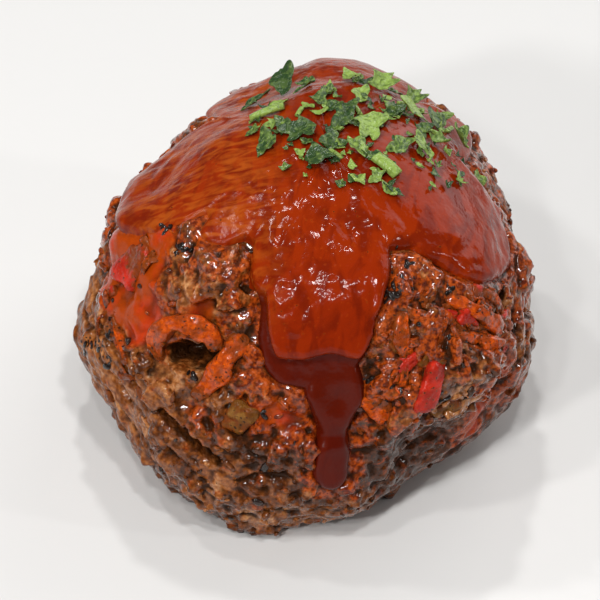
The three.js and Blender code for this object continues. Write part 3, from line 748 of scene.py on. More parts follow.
class Value:
    """A number or colour in a material; its operators add Math nodes."""

    def __init__(self, tree, socket):
        self.tree = tree
        self.socket = socket

    def math(self, operation, *terms):
        node = self.tree.nodes.new("ShaderNodeMath")
        node.operation = operation
        for entry, term in zip(node.inputs, terms):
            feed(self.tree, entry, term)
        return Value(self.tree, node.outputs[0])

    def __add__(self, other):
        return self.math("ADD", self, other)

    def __sub__(self, other):
        return self.math("SUBTRACT", self, other)

    def __rsub__(self, other):
        return self.math("SUBTRACT", other, self)

    def swing(self, reach):
        """A 0 to 1 pattern as a swing to both sides of 0, this far from end to end."""
        return (self - 0.5) * reach

    def __mul__(self, other):
        return self.math("MULTIPLY", self, other)

    __radd__ = __add__
    __rmul__ = __mul__


def feed(tree, entry, term):
    """Link a value to a node's entry, or set the entry to a plain number or colour."""
    if isinstance(term, Value):
        tree.links.new(term.socket, entry)
    else:
        entry.default_value = term


def opaque(colour):
    """A colour with full alpha."""
    return (*colour, 1.0)


class Finish:
    """One material and the nodes that give it its look."""

    def __init__(self, name, **constants):
        self.material = bpy.data.materials.new(name)
        self.material.use_nodes = True
        self.tree = self.material.node_tree
        self.tree.nodes.clear()
        self.shader = self.tree.nodes.new("ShaderNodeBsdfPrincipled")
        output = self.tree.nodes.new("ShaderNodeOutputMaterial")
        self.tree.links.new(self.shader.outputs["BSDF"], output.inputs["Surface"])
        self.place = self.node("ShaderNodeTexCoord", output="Object")
        for label, value in constants.items():
            self.shader.inputs[label.replace("_", " ")].default_value = value

    def node(self, kind, settings=None, entries=None, output=0):
        """Add a node: its settings first, then its entries."""
        node = self.tree.nodes.new(kind)
        for label, value in (settings or {}).items():
            setattr(node, label, value)
        for label, value in (entries or {}).items():
            feed(self.tree, node.inputs[label], value)
        return Value(self.tree, node.outputs[output])

    def noise(self, size, detail=2.0, warp=0.0, where=None):
        """Cloudy noise, 0 to 1, with features about one size across."""
        return self.node("ShaderNodeTexNoise", None, {
            "Vector": where or self.place, "Scale": 1 / size, "Detail": detail, "Distortion": warp})

    def cells(self, size, where):
        """Cells one size across, as the distance from their middles."""
        return self.node("ShaderNodeTexVoronoi", None, {"Vector": where, "Scale": 1 / size}, "Distance")

    def stretched(self, scale, turned=(0, 0, 0)):
        """The place, stretched and turned."""
        return self.node("ShaderNodeMapping", None, {
            "Vector": self.place, "Scale": scale, "Rotation": tuple(a * DEGREE for a in turned)})

    def attribute(self, name):
        """A value kept on the mesh."""
        return self.node("ShaderNodeAttribute", {"attribute_name": name}, None, "Fac")

    def step(self, value, low, high):
        """0 below low, 1 above high, and smooth between them."""
        return self.node("ShaderNodeMapRange", {"interpolation_type": "SMOOTHSTEP"},
                         {"Value": value, "From Min": low, "From Max": high})

    def patches(self, size, low, high, detail=2.0, warp=0.0, where=None):
        """Patches about one size across: 1 where the noise is above high, 0 where it is below low."""
        return self.step(self.noise(size, detail, warp, where), low, high)

    def mixed(self, factor, first, second):
        """A colour part of the way from the first to the second."""
        node = self.tree.nodes.new("ShaderNodeMix")
        node.data_type = "RGBA"
        colours = [entry for entry in node.inputs if entry.type == "RGBA"]
        feed(self.tree, node.inputs[0], factor)
        feed(self.tree, colours[0], first)
        feed(self.tree, colours[1], second)
        return Value(self.tree, next(out for out in node.outputs if out.type == "RGBA"))

    def tones(self, value, stops):
        """A colour ramp with (share, colour) stops."""
        node = self.tree.nodes.new("ShaderNodeValToRGB")
        elements = node.color_ramp.elements
        while len(elements) < len(stops):
            elements.new(1.0)
        for element, (share, colour) in zip(elements, stops):
            element.position = share
            element.color = opaque(colour)
        feed(self.tree, node.inputs[0], value)
        return Value(self.tree, node.outputs[0])

    def finish(self, colour, roughness, height, depth, wet=0.0):
        """Feed the shader: colour, roughness, a bump of this height pattern and depth, and wetness."""
        normal = self.node("ShaderNodeBump", None, {"Height": height, "Distance": depth})
        feed(self.tree, self.shader.inputs["Base Color"], colour)
        feed(self.tree, self.shader.inputs["Roughness"], roughness)
        feed(self.tree, self.shader.inputs["Normal"], normal)
        feed(self.tree, self.shader.inputs["Coat Weight"], wet)
        return self.material


# Colours of the finishes that aren't settings. The ramps go from dark to light.
MEAT_TONES = ((0.0, (0.024, 0.006, 0.001)), (0.30, (0.075, 0.018, 0.003)), (0.52, (0.165, 0.044, 0.008)),
              (0.74, (0.310, 0.100, 0.024)), (1.0, (0.520, 0.240, 0.095)))
SOAKED_DARK = (0.105, 0.010, 0.001, 1)
FILM_RED = (0.440, 0.034, 0.006, 1)
JUICES_DARK = (0.050, 0.010, 0.002, 1)
JUICES_LIGHT = (0.270, 0.055, 0.006, 1)
VEGETABLE_SPECKS = (0.015, 0.008, 0.006, 1)
CARROT_BROWN = (0.21, 0.034, 0.005, 1)
PEPPER_PALE = (0.36, 0.07, 0.015, 1)
CELERY_DARK = (0.08, 0.024, 0.004)
CELERY_GOLD = (0.26, 0.115, 0.022)
SAUCE_RUNS = (0.120, 0.007, 0.001, 1)
SAUCE_PULP = (0.40, 0.065, 0.005, 1)
SAUCE_SPECKS = (0.035, 0.010, 0.004, 1)
# painted shade under the sauce's front lip
SAUCE_UNDER_LIP_SHADE = (0.066, 0.004, 0.001, 1)
FLOOR_GREY = (0.5, 0.5, 0.5, 1)


def put_finish(piece, material):
    """Give a piece its material, its body and smooth shading."""
    piece.data.materials.clear()
    piece.data.materials.append(material)
    smooth_shaded(piece)
    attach(piece, "root")


def meat_finish(settings):
    """Moist baked meat: tan crust, painted shade in its crevices, sauce stains and charred specks."""
    meat = Finish("baked_meat", IOR=1.14, Coat_IOR=1.45, Coat_Roughness=0.11)
    tone, stain, crevice_shade, char, film, rough = (
        meat.attribute(name) for name in ("tint", "stain", "crevice_shade", "char", "film", "rough"))
    fine = meat.noise(0.8 * MM, 3)
    shade = tone + fine.swing(0.80) + meat.noise(3.2 * MM).swing(0.80)
    stained = meat.step(stain + meat.noise(1.9 * MM, 3, 0.6).swing(1.5), 0.18, 0.60)
    soaked = meat.mixed(meat.step(fine, 0.35, 0.65), SOAKED_DARK, opaque(settings.stain))
    glaze = meat.mixed(meat.patches(5.0 * MM, 0.42, 0.66), opaque(settings.film), FILM_RED)
    specks = meat.step(meat.noise(0.9 * MM, 1) + char * 0.24, 0.75, 0.79)
    colour = meat.tones(shade, MEAT_TONES)
    colour = meat.mixed(stained * 0.9, colour, soaked)
    colour = meat.mixed(film * 0.92, colour, glaze)
    # painted shade: crevices, cracks and the hollow under the carrot curl are darkened to the crevice
    # colour
    colour = meat.mixed(crevice_shade * 0.95, colour, opaque(settings.deep))
    colour = meat.mixed(specks * 0.9, colour, opaque(settings.char))
    roughness = 0.24 + crevice_shade * 0.36 - film * 0.07
    wet = meat.patches(1.4 * MM, 0.39, 0.50) * (rough * 0.88 + 0.10) * (1 - crevice_shade * 0.75)
    bumps = (meat.noise(0.7 * MM) * 0.8 + meat.noise(1.5 * MM)) * rough
    return meat.finish(colour, roughness, bumps, 0.60 * MM, wet)


def meaty(finish, colour, reach=0.0, speckled=0.67):
    """The colour of a vegetable, smeared with meat juices where it goes down into the meat."""
    buried = finish.attribute("buried")
    smear = finish.step(buried + finish.noise(1.7 * MM, 3, 0.5).swing(2.1) + reach, 0.25, 0.70)
    juices = finish.mixed(finish.noise(0.9 * MM), JUICES_DARK, JUICES_LIGHT)
    specks = finish.patches(0.8 * MM, speckled, speckled + 0.05, 1)
    colour = finish.mixed(smear * 0.88, colour, juices)
    return finish.mixed(specks * 0.85, colour, VEGETABLE_SPECKS)


def carrot_finish(settings):
    """Cooked carrot: orange with paler fibres along it, stained by the sauce."""
    carrot = Finish("carrot", IOR=1.15, Coat_IOR=1.42, Coat_Roughness=0.13)
    fibre = carrot.noise(0.7 * MM, 3, 0.3)
    cloud = carrot.noise(2.6 * MM)
    colour = carrot.mixed(carrot.step(fibre, 0.3, 0.75), opaque(settings.carrot_deep),
                          opaque(settings.carrot))
    colour = carrot.mixed(carrot.step(cloud, 0.44, 0.62) * 0.8, colour, CARROT_BROWN)
    wet = carrot.patches(1.5 * MM, 0.46, 0.56) * 0.8
    return carrot.finish(meaty(carrot, colour, 0.12, 0.64), 0.28, fibre + cloud * 0.8, 0.50 * MM, wet)


def pepper_finish(settings):
    """Cooked red pepper: glossy skin with a few dull and paler places."""
    pepper = Finish("red_pepper", IOR=1.27)
    cloud = pepper.noise(2.4 * MM)
    fine = pepper.noise(0.8 * MM)
    colour = pepper.mixed(pepper.step(cloud, 0.35, 0.7), opaque(settings.pepper_deep),
                          opaque(settings.pepper))
    colour = pepper.mixed(pepper.step(fine, 0.58, 0.70) * 0.5, colour, PEPPER_PALE)
    return pepper.finish(meaty(pepper, colour, -0.2), 0.12 + cloud * 0.12, fine + cloud, 0.30 * MM)


def celery_finish(settings):
    """Cooked celery and onion: glassy olive with golden browned edges."""
    celery = Finish("celery", IOR=1.21)
    cloud = celery.noise(1.9 * MM, 3)
    ribs = celery.noise(0.5 * MM, where=celery.stretched((1, 1, 0.25)))
    colour = celery.tones(cloud, ((0.30, CELERY_DARK), (0.50, settings.celery), (0.72, CELERY_GOLD)))
    return celery.finish(meaty(celery, colour, 0.30), 0.18 + cloud * 0.12, ribs + cloud, 0.32 * MM)


def sauce_finish(settings):
    """Thick tomato sauce: deep red-brown where it is thick, orange streaks where it has run thin, painted
    shade under its lip.
    """
    sauce = Finish("tomato_sauce", IOR=1.22)
    # low: where shade is painted under the front lip and on the drip
    depth, thin, low = (sauce.attribute(name) for name in ("depth", "thin", "low"))
    pulp = sauce.noise(0.9 * MM, 3)
    thick = sauce.step(depth + sauce.noise(7.0 * MM).swing(0.5), 0.15, 0.95)
    runs = sauce.patches(4.5 * MM, 0.42, 0.62, 3, 0.8, sauce.stretched((1.5, 0.6, 0.6)))
    streaks = sauce.patches(2.6 * MM, 0.38, 0.70, 3, 1.0, sauce.stretched((0.36, 1.5, 1.0), (0, 0, 24)))
    specks = sauce.patches(0.9 * MM, 0.755, 0.79, 1)
    colour = sauce.mixed(thick, opaque(settings.shallow), opaque(settings.deep))
    colour = sauce.mixed(runs * 0.70, colour, SAUCE_RUNS)
    colour = sauce.mixed(streaks * thin * 0.80, colour, opaque(settings.streak))
    colour = sauce.mixed(sauce.step(pulp, 0.60, 0.74) * 0.25, colour, SAUCE_PULP)
    colour = sauce.mixed(specks * 0.8, colour, SAUCE_SPECKS)
    # painted shade under the front lip and on the drip
    colour = sauce.mixed(low * 0.90, colour, SAUCE_UNDER_LIP_SHADE)
    roughness = 0.13 + pulp.swing(0.08) + thin * 0.10 + low * 0.12
    bumps = sauce.noise(2.4 * MM) + sauce.noise(0.8 * MM) * 0.12
    return sauce.finish(colour, roughness, bumps, 0.24 * MM)


def parsley_finish(settings):
    """Chopped parsley: dark glossy faces, paler veins and cut edges."""
    parsley = Finish("parsley", IOR=1.38)
    fine = parsley.noise(0.7 * MM, 3)
    pale = parsley.step(parsley.attribute("tone") + fine.swing(1.5), 0.10, 0.95)
    veins = parsley.step(parsley.cells(1.3 * MM, parsley.stretched((1, 1, 0.3))), 0.5, 0.75)
    colour = parsley.mixed(pale, opaque(settings.dark), opaque(settings.light))
    colour = parsley.mixed(veins * 0.12, colour, opaque(settings.vein))
    return parsley.finish(colour, 0.24 + fine.swing(0.2), fine + veins * 0.8, 0.22 * MM)


def floor_finish(settings):
    """Plain pale floor."""
    floor = Finish("floor", IOR=1.3)
    fine = floor.noise(4 * MM)
    colour = floor.mixed(fine * 0.04, opaque(settings.floor), FLOOR_GREY)
    return floor.finish(colour, 0.7 + fine * 0.05, fine, 0.02 * MM)


# ---------------------------------------------------------------- settings

def length(name, description, millimetres):
    """A length that a user may change."""
    return FloatProperty(name=name, description=description, default=millimetres * MM, min=0,
                         precision=4, subtype="DISTANCE", unit="LENGTH")


def tint(name, description, colour):
    """A colour that a user may change."""
    return FloatVectorProperty(name=name, description=description, default=colour, min=0, max=1,
                               size=3, subtype="COLOR")


class MeatSettings(bpy.types.PropertyGroup):
    crumbs: IntProperty(name="Crumbs", description="Raised crumbs of meat", default=950, min=1)
    crumb_size: length("Crumb size", "Usual width of a crumb", 3.0)
    fine_crumbs: IntProperty(name="Fine crumbs", description="Small loose crumbs", default=700, min=1)
    fine_size: length("Fine crumb size", "Usual width of a fine crumb", 0.85)
    grain: length("Grain", "Finest form that the meat's surface keeps", 0.44)
    stain: tint("Stain", "Meat soaked with sauce", (0.405, 0.060, 0.004))
    film: tint("Film", "Sauce that covers the meat thinly", (0.340, 0.042, 0.002))
    # deep: the colour of the painted shade in the meat's crevices, cracks and hollow
    deep: tint("Crevices", "Meat deep between crumbs", (0.020, 0.006, 0.001))
    char: tint("Char", "Charred specks", (0.010, 0.007, 0.006))


class VegetableSettings(bpy.types.PropertyGroup):
    shreds: IntProperty(name="Shreds", description="Small carrot shreds", default=84, min=1)
    bits: IntProperty(name="Bits", description="Small bits of pepper and of celery", default=26, min=1)
    carrot: tint("Carrot", "Cooked carrot", (0.600, 0.084, 0.002))
    carrot_deep: tint("Carrot, deep", "Stained carrot", (0.340, 0.038, 0.002))
    pepper: tint("Pepper", "Cooked red pepper", (0.500, 0.024, 0.010))
    pepper_deep: tint("Pepper, deep", "Darker pepper skin", (0.260, 0.012, 0.005))
    celery: tint("Celery", "Glassy celery and onion", (0.140, 0.050, 0.007))


class SauceSettings(bpy.types.PropertyGroup):
    shallow: tint("Shallow", "Sauce near its edges", (0.245, 0.020, 0.001))
    deep: tint("Deep", "Thick sauce", (0.215, 0.014, 0.001))
    streak: tint("Streaks", "Sauce that has run thin", (0.370, 0.070, 0.006))


class ParsleySettings(bpy.types.PropertyGroup):
    bits: IntProperty(name="Bits", description="Small bits between the leaves", default=130, min=1)
    thickness: length("Thickness", "Thickness of a leaf", 0.22)
    dark: tint("Dark", "Upper side of a leaf", (0.022, 0.052, 0.014))
    light: tint("Light", "Under side and cut edges", (0.230, 0.335, 0.065))
    vein: tint("Veins", "Veins of a leaf", (0.300, 0.420, 0.100))


class StageSettings(bpy.types.PropertyGroup):
    floor: tint("Floor", "Plain pale floor", (0.660, 0.650, 0.635))
    lens: FloatProperty(name="Lens", description="Focal length", default=376.03, subtype="DISTANCE_CAMERA")
    distance: length("Distance", "From the camera to the loaf", 1100.4)


# ---------------------------------------------------------------- the meat

CRUMB_SEED = 907
FINE_SEED = 419
FOOT_FROM = 0.9         # share of the way from the crown's pole at which the flat foot begins
MEAT_TRIANGLES = 190000
LOAF_FACETS = (108, 78, 3)          # round it, up it, and cuts across each
FOOT_FADE = (0.3, 1.5)              # heights over which the skin's crags begin
FOOT_FLAT = 0.35
SKIN_CRAGS = ((0.13, 1.5, 51), (0.12, 1.0, 52))

# Crumbs that are fused to the meat.
CRUMB_TRIES = 6                     # places drawn for each crumb
CRUMB_CLIMBS = (0.015, 0.80)
CRUMB_GAP = 1.2                     # to the sauce's edge
CRUMBS_ON_SKIRT = 0.2               # share that is kept on the plain skirt
CRUMB_SPREAD = 0.30
SKIRT_CRUMB_SIZE = 0.7
CRUMB_SINK = (0.02, 0.22)           # share of its size by which a crumb sits in the meat
CRUMB_LOWEST = 0.4
CRUMB_FINENESS, CRUMB_PITCH = 3, 1.5
CRUMB_STRETCH = ((0.9, 1.9), (0.60, 1.0), (0.45, 0.80))     # along, across and outwards
CRUMB_CRAGS = ((0.50, 1.0, 41), (0.25, 0.5, 42))            # height, share of the pitch, seed
CRACK_CLEAR = 0.9                   # share of a crack's width

# The meat's tint, from 0, dark, to 1, pale.
LUMP_TINT_SHARES = (0.3, 0.4, 0.3)
SKIRT_TINT, SKIRT_TINT_CRAG = 0.60, (0.12, 3.4, 61)
LUMP_TINT, LUMP_TINT_RANGE = 0.02, 0.95
LUMP_TINT_STRENGTH = 0.75
CRUMB_TINT, CRUMB_TINT_RANGE = 0.15, 0.70
CRUMB_TINT_STRENGTH = (0.3, 0.7)    # on the skirt, and where the meat is crumbly
CRUMB_EDGE = (0.45, 0.70)           # share of its size
# painted shade: the meat is darker towards the foot
FOOT_PAINTED_SHADE, FOOT_PAINTED_SHADE_LEVELS = 0.14, (12, 34)
SPOT_TINT = 0.45
DARKEST_TINT = 0.20

# The sauce's stain: by the sauce, high up, and how much each lump takes.
EDGE_STAIN, EDGE_STAIN_GAP = 0.55, (-5.5, -0.5)
HIGH_STAIN, HIGH_STAIN_LEVELS = 0.25, (30, 44)
HIGH_STAIN_USUAL, HIGH_STAIN_CRAG = 0.6, (0.6, 7, 62)
LUMP_STAIN, LUMP_STAIN_RANGE = 0.35, 1.15
MOST_STAIN = 1.3
SKIRT_ROUGH, FILM_EVENS = 0.35, 0.8

# Painted shade in crevices: rounds of evening out, depths below the evened surface in mm, and strength.
NEAR_ROUNDS, NEAR_DEPTHS, NEAR_STRENGTH = 4, (-0.01, 0.13), 0.70
WIDE_ROUNDS, WIDE_DEPTHS, WIDE_STRENGTH = 26, (0.0, 0.55), 1.05
CREVICE_SHADE_STRENGTH = (0.55, 0.92)     # on the skirt, and where the meat is crumbly
FILM_FILLS = 0.6
MOST_SHADE_LIFTED = 0.8
# painted shade in the hollow under the carrot curl and along the cracks
HOLLOW_SHADE_REACH, HOLLOW_SHADE_DEPTHS = (2.5, 6), (-0.2, 0.5)
CRACK_SHADE = (0.15, 0.55)           # shares of a crack's width

# Fine crumbs and charred flakes that lie on the surface.
FINE_FINENESS, FINE_PITCH = 2, 0.8
FINE_GAP = (0.8, 2.2)               # to the sauce's edge
FINE_LEVELS = (0.4, 1.5)
FINE_ON_SKIRT = 0.12
FINE_ON_VEGETABLES = (("carrot_pieces", 150), ("pepper_pieces", 10), ("celery_pieces", 30))
VEGETABLE_CRUMB_TINTS, VEGETABLE_CRUMB_STAINS = (0.1, 0.6), (0.2, 0.9)
FINE_SPREAD = 0.35
FINE_TINT, FINE_TINT_SPREAD, FINE_TINT_MOST = 0.9, 0.15, 0.8
CHARRED, CHARRED_SHARE = 2.0, 0.10
FINE_LIFT = (-0.1, 0.15)
FLAKES_IN_SPOT = 3
FLAKE_SPREAD = 0.5
FLAKE_SIZES = (0.6, 1.3)


def crumb_places(count, usual_size):
    """Seeded crumbs on the bare meat: frames for their copies, their middles, sizes and tints."""
    draw = np.random.default_rng(CRUMB_SEED)
    tries = count * CRUMB_TRIES
    turn = draw.uniform(-math.pi, math.pi, tries)
    climb = draw.uniform(*CRUMB_CLIMBS, tries)
    points = smooth_point(turn, climb)
    crumbly = crumbliness(points, turn)
    plain = (np.maximum(near_vegetables(points), film_over(points)) > 0.5) | by_hollow(points)
    for away, width, _depth in away_from_cracks(points):
        plain |= away < width * CRACK_CLEAR
    likely = draw.random(tries) < mix(CRUMBS_ON_SKIRT, 1, crumbly)
    kept = np.flatnonzero((inside_sauce(points, turn) < -CRUMB_GAP) & likely & ~plain)[:count]
    turn, climb, points = turn[kept], climb[kept], points[kept]
    size = usual_size * np.exp(draw.normal(0, CRUMB_SPREAD, len(kept)))
    size *= mix(SKIRT_CRUMB_SIZE, 1.0, crumbly[kept])
    normal = smooth_normal(turn, climb)
    lift = meat_height(points, turn) - size * draw.uniform(*CRUMB_SINK, len(kept))
    middles = points + normal * lift[:, None]
    middles[:, 2] = np.maximum(middles[:, 2], size * CRUMB_LOWEST)
    return crumb_frames(draw, middles, normal, size), middles, size, draw.random(len(kept))


def crumb_frames(draw, middles, normal, size):
    """Frames that lay each crumb along the meat, turned at random and drawn out one way."""
    along = np.cross(normal, draw.normal(size=normal.shape))
    along /= np.linalg.norm(along, axis=1, keepdims=True)
    stretch = np.stack([draw.uniform(*reach, len(middles)) * size / 2 for reach in CRUMB_STRETCH], axis=1)
    frames = np.stack([along, np.cross(normal, along), normal, middles], axis=1)
    frames[:, :3] *= stretch[:, :, None]
    return frames


def build_crumbs(name, fineness, ragged, frames, middles, values=None):
    """Ragged crumbs, each a copy of one ball; ragged is the pitch of their crags."""
    ball = add_ball(fineness)
    crumbs = copies_of(name, [ball], [0] * len(frames), frames, values)
    discard([ball])
    places = places_of(crumbs)
    own = np.repeat(middles, len(places) // len(middles), axis=0)
    swell = np.ones(len(places))
    for height, share, seed in CRUMB_CRAGS:
        swell += height * crag(places, ragged * share, seed)
    move_to(crumbs, from_loaf(own + (places - own) * swell[:, None]))
    return crumbs


def build_meat(settings):
    """Mould the loaf, fuse crumbs to it and keep what its material reads."""
    loaf = add_sphere("baked_meat", *LOAF_FACETS)
    share, turn = shares_of(loaf)
    climb = np.clip(1 - share / FOOT_FROM, 0, 1)
    points = smooth_point(turn, climb)
    normal = smooth_normal(turn, climb)
    normal[climb <= 0, 2] = 0
    normal /= np.linalg.norm(normal, axis=1, keepdims=True)
    points = points + normal * meat_height(points, turn)[:, None]
    foot = share > FOOT_FROM
    inward = (1 - share[foot]) / (1 - FOOT_FROM)
    points[foot, :2] *= inward[:, None]
    points[foot, 2] = 0
    points[:, 2] = np.maximum(points[:, 2], 0)
    move_to(loaf, from_loaf(points))

    frames, middles, size, tints = crumb_places(settings.crumbs, settings.crumb_size / MM)
    join_pieces([loaf, build_crumbs("crumbs", CRUMB_FINENESS, CRUMB_PITCH, frames, middles)])
    finish_modifier(loaf, "REMESH", mode="VOXEL", voxel_size=settings.grain)
    finish_modifier(loaf, "SMOOTH", factor=0.5, iterations=1)
    triangles = 2 * len(loaf.data.polygons)
    if triangles > MEAT_TRIANGLES:
        finish_modifier(loaf, "DECIMATE", ratio=MEAT_TRIANGLES / triangles)

    points = on_loaf(loaf)
    bare = bare_share(inside_sauce(points, turn_of(points)))
    raised = ramp(points[:, 2], *FOOT_FADE)
    points = points + normals_of(loaf) * (bare * raised * crags(points, *SKIN_CRAGS))[:, None]
    points[:, 2] = np.where(points[:, 2] < FOOT_FLAT, 0, points[:, 2])
    move_to(loaf, from_loaf(points))
    dress_meat(loaf, points, middles, size, tints)
    # the mask of painted shade in the meat's crevices, cracks and hollow
    store(loaf, "crevice_shade", painted_crevice_shade(loaf, points))
    return loaf


def nearest_crumb(points, middles):
    """The crumb nearest to each point, and the distance to its middle."""
    tree = kdtree.KDTree(len(middles))
    for number, middle in enumerate(middles):
        tree.insert(middle, number)
    tree.balance()
    found = [tree.find(point)[1:] for point in points]
    return np.array([number for number, _away in found]), np.array([away for _number, away in found])


def dress_meat(loaf, points, middles, size, tints):
    """Keep the meat's tint, with painted shade towards the foot and low at the right, and its stain, film,
    roughness and char on its vertices.
    """
    turn = turn_of(points)
    inside = inside_sauce(points, turn)
    crumbly = crumbliness(points, turn)
    nearest, away = nearest_crumb(points, middles)
    on_crumb = 1 - ramp(away / size[nearest], *CRUMB_EDGE)
    bumpy = gnarled(points)
    lump_tints = [lumps(bumpy, pitch, seed)[1] for pitch, seed, _plain, _rough in LUMP_SIZES]
    own = sum(share * tint for share, tint in zip(LUMP_TINT_SHARES, lump_tints))
    shade = mix(SKIRT_TINT + crags(points, SKIRT_TINT_CRAG), LUMP_TINT + LUMP_TINT_RANGE * own,
                LUMP_TINT_STRENGTH * crumbly)
    shade = mix(shade, CRUMB_TINT + CRUMB_TINT_RANGE * tints[nearest],
                on_crumb * mix(*CRUMB_TINT_STRENGTH, crumbly))
    # painted shade, darker towards the foot
    shade = shade - FOOT_PAINTED_SHADE * (1 - ramp(points[:, 2], *FOOT_PAINTED_SHADE_LEVELS))
    # the tint spots include painted shade low at the right
    store(loaf, "tint", np.clip(shade + SPOT_TINT * spotted(points, TONE_AND_SHADE_SPOTS), DARKEST_TINT, 1))

    near_sauce = ramp(inside, *EDGE_STAIN_GAP) * EDGE_STAIN
    high = ramp(points[:, 2], *HIGH_STAIN_LEVELS) * (HIGH_STAIN_USUAL + crags(points, HIGH_STAIN_CRAG))
    by_lump = mix(1, LUMP_STAIN + LUMP_STAIN_RANGE * lump_tints[1] * (0.5 + own), crumbly)
    stain = (near_sauce + HIGH_STAIN * high + spotted(points, STAIN_SPOTS)) * by_lump
    store(loaf, "stain", np.clip(stain, 0, MOST_STAIN))
    film = film_over(points) * bare_share(inside)
    store(loaf, "film", film)
    store(loaf, "rough", mix(SKIRT_ROUGH, 1, crumbly) * (1 - FILM_EVENS * film))
    store(loaf, "char", np.clip(spotted(points, CHAR_SPOTS), 0, 1))


def painted_crevice_shade(loaf, points):
    """Painted shade for each place, 0 to 1: how far it lies down between crumbs, in a crack or in the
    hollow.
    """
    normal = normals_of(loaf)
    near = ((neighbour_mean(loaf, points, NEAR_ROUNDS) - points) * normal).sum(axis=1)
    wide = ((neighbour_mean(loaf, points, WIDE_ROUNDS) - points) * normal).sum(axis=1)
    deep = ramp(near, *NEAR_DEPTHS) * NEAR_STRENGTH + ramp(wide, *WIDE_DEPTHS) * WIDE_STRENGTH
    deep *= 1 - FILM_FILLS * stored(loaf, "film")
    # less painted crevice shade at these spots
    light = np.clip(spotted(points, LESS_SHADE_SPOTS), 0, MOST_SHADE_LIFTED)
    deep *= mix(*CREVICE_SHADE_STRENGTH, crumbliness(points, turn_of(points))) * (1 - light)
    # painted shade along the cracks, and in the hollow under the carrot curl
    for away, width, depth in away_from_cracks(points):
        deep = np.maximum(deep, (1 - ramp(away / width, *CRACK_SHADE)) * depth / 2)
    away = np.linalg.norm(points - surface_at(*HOLLOW_PLACE)[0], axis=1)
    return np.clip(deep + (1 - ramp(away, *HOLLOW_SHADE_REACH)) * ramp(wide, *HOLLOW_SHADE_DEPTHS), 0, 1)


class MEATLOAF_OT_meat(bpy.types.Operator):
    """Mould the baked meat with its crags, cracks, hollow and crumbs"""
    bl_idname = "meatloaf.meat"
    bl_label = "Baked meat"

    def execute(self, context):
        settings = context.scene.meatloaf_meat
        loaf = build_meat(settings)
        put_finish(loaf, meat_finish(settings))
        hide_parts("meatloaf")
        return {"FINISHED"}


def charred_flakes(draw):
    """Charred flakes round each charred spot: rows of a place, a normal and a size."""
    ready = bpy.context.evaluated_depsgraph_get()
    rows = []
    for name, spots in (("baked_meat", CHAR_SPOTS), ("tomato_sauce_cap", SAUCE_FLAKES)):
        tree = BVHTree.FromObject(bpy.data.objects[name], ready)
        for turn, height, reach, _strength in spots:
            spread = draw.normal(0, reach * FLAKE_SPREAD, (FLAKES_IN_SPOT, 3))
            for aim in surface_at(turn, height)[0] + spread:
                place, normal, _face, _gap = tree.find_nearest(Vector(from_loaf(aim)))
                rows.append((*(np.array(place) / MM - AXIS_PLACE), *normal, draw.uniform(*FLAKE_SIZES)))
    return np.array(rows)


def fine_crumbs(settings):
    """Small loose crumbs all over the bare meat, a few on the vegetables, and charred flakes."""
    draw = np.random.default_rng(FINE_SEED)
    loaf = bpy.data.objects["baked_meat"]
    points, normal, turn = on_loaf(loaf), normals_of(loaf), turn_of(on_loaf(loaf))
    weight = ramp(-inside_sauce(points, turn), *FINE_GAP) * ramp(points[:, 2], *FINE_LEVELS)
    weight *= mix(FINE_ON_SKIRT, 1, crumbliness(points, turn))
    weight *= ~by_hollow(points)
    kept = draw.choice(len(points), settings.fine_crumbs, p=weight / weight.sum())
    points, normal = [points[kept]], [normal[kept]]
    tints, stains = [stored(loaf, "tint")[kept]], [stored(loaf, "stain")[kept]]
    for name, count in FINE_ON_VEGETABLES:
        piece = bpy.data.objects[name]
        chosen = draw.choice(len(piece.data.vertices), count)
        points.append(on_loaf(piece)[chosen])
        normal.append(normals_of(piece)[chosen])
        tints.append(draw.uniform(*VEGETABLE_CRUMB_TINTS, count))
        stains.append(draw.uniform(*VEGETABLE_CRUMB_STAINS, count))
    tints, stains = np.concatenate(tints), np.concatenate(stains)
    size = settings.fine_size / MM * np.exp(draw.normal(0, FINE_SPREAD, len(tints)))
    tints = np.clip(tints * FINE_TINT + draw.normal(0, FINE_TINT_SPREAD, len(tints)), 0, FINE_TINT_MOST)
    char = (draw.random(len(tints)) < CHARRED_SHARE) * CHARRED
    flakes = charred_flakes(draw)
    points = np.concatenate([*points, flakes[:, :3]])
    normal = np.concatenate([*normal, flakes[:, 3:6]])
    size = np.concatenate([size, flakes[:, 6]])
    middles = points + normal * (size * draw.uniform(*FINE_LIFT, len(points)))[:, None]
    middles[:, 2] = np.maximum(middles[:, 2], size)
    none = np.zeros(len(flakes))
    values = {"tint": np.concatenate([tints, none]), "stain": np.concatenate([stains, none]),
              "char": np.concatenate([char, none + CHARRED]), "rough": np.ones(len(points))}
    frames = crumb_frames(draw, middles, normal, size)
    return build_crumbs("fine_crumbs", FINE_FINENESS, FINE_PITCH, frames, middles, values)


class MEATLOAF_OT_crumbs(bpy.types.Operator):
    """Scatter fine crumbs over the meat and the vegetables"""
    bl_idname = "meatloaf.crumbs"
    bl_label = "Fine crumbs"

    def execute(self, context):
        crumbs = fine_crumbs(context.scene.meatloaf_meat)
        put_finish(crumbs, bpy.data.objects["baked_meat"].active_material)
        return {"FINISHED"}


# ---------------------------------------------------------------- vegetables

SHRED_SEED = 311
BIT_SEED = 523
STRIP_SINK = 0.55           # mm by which strips and chunks lie deeper than their stations say
CHUNK_SINK = 0.70
SQUARENESS = 5.0            # 2 would be round, and more is squarer
LONG_STRIP = (20, 40)       # facets round a strip and along it
SHORT_STRIP = (12, 18)
CURVE_STEP = 0.01
STRIP_END_POWER = 12
STRIP_TAPER = 0.25
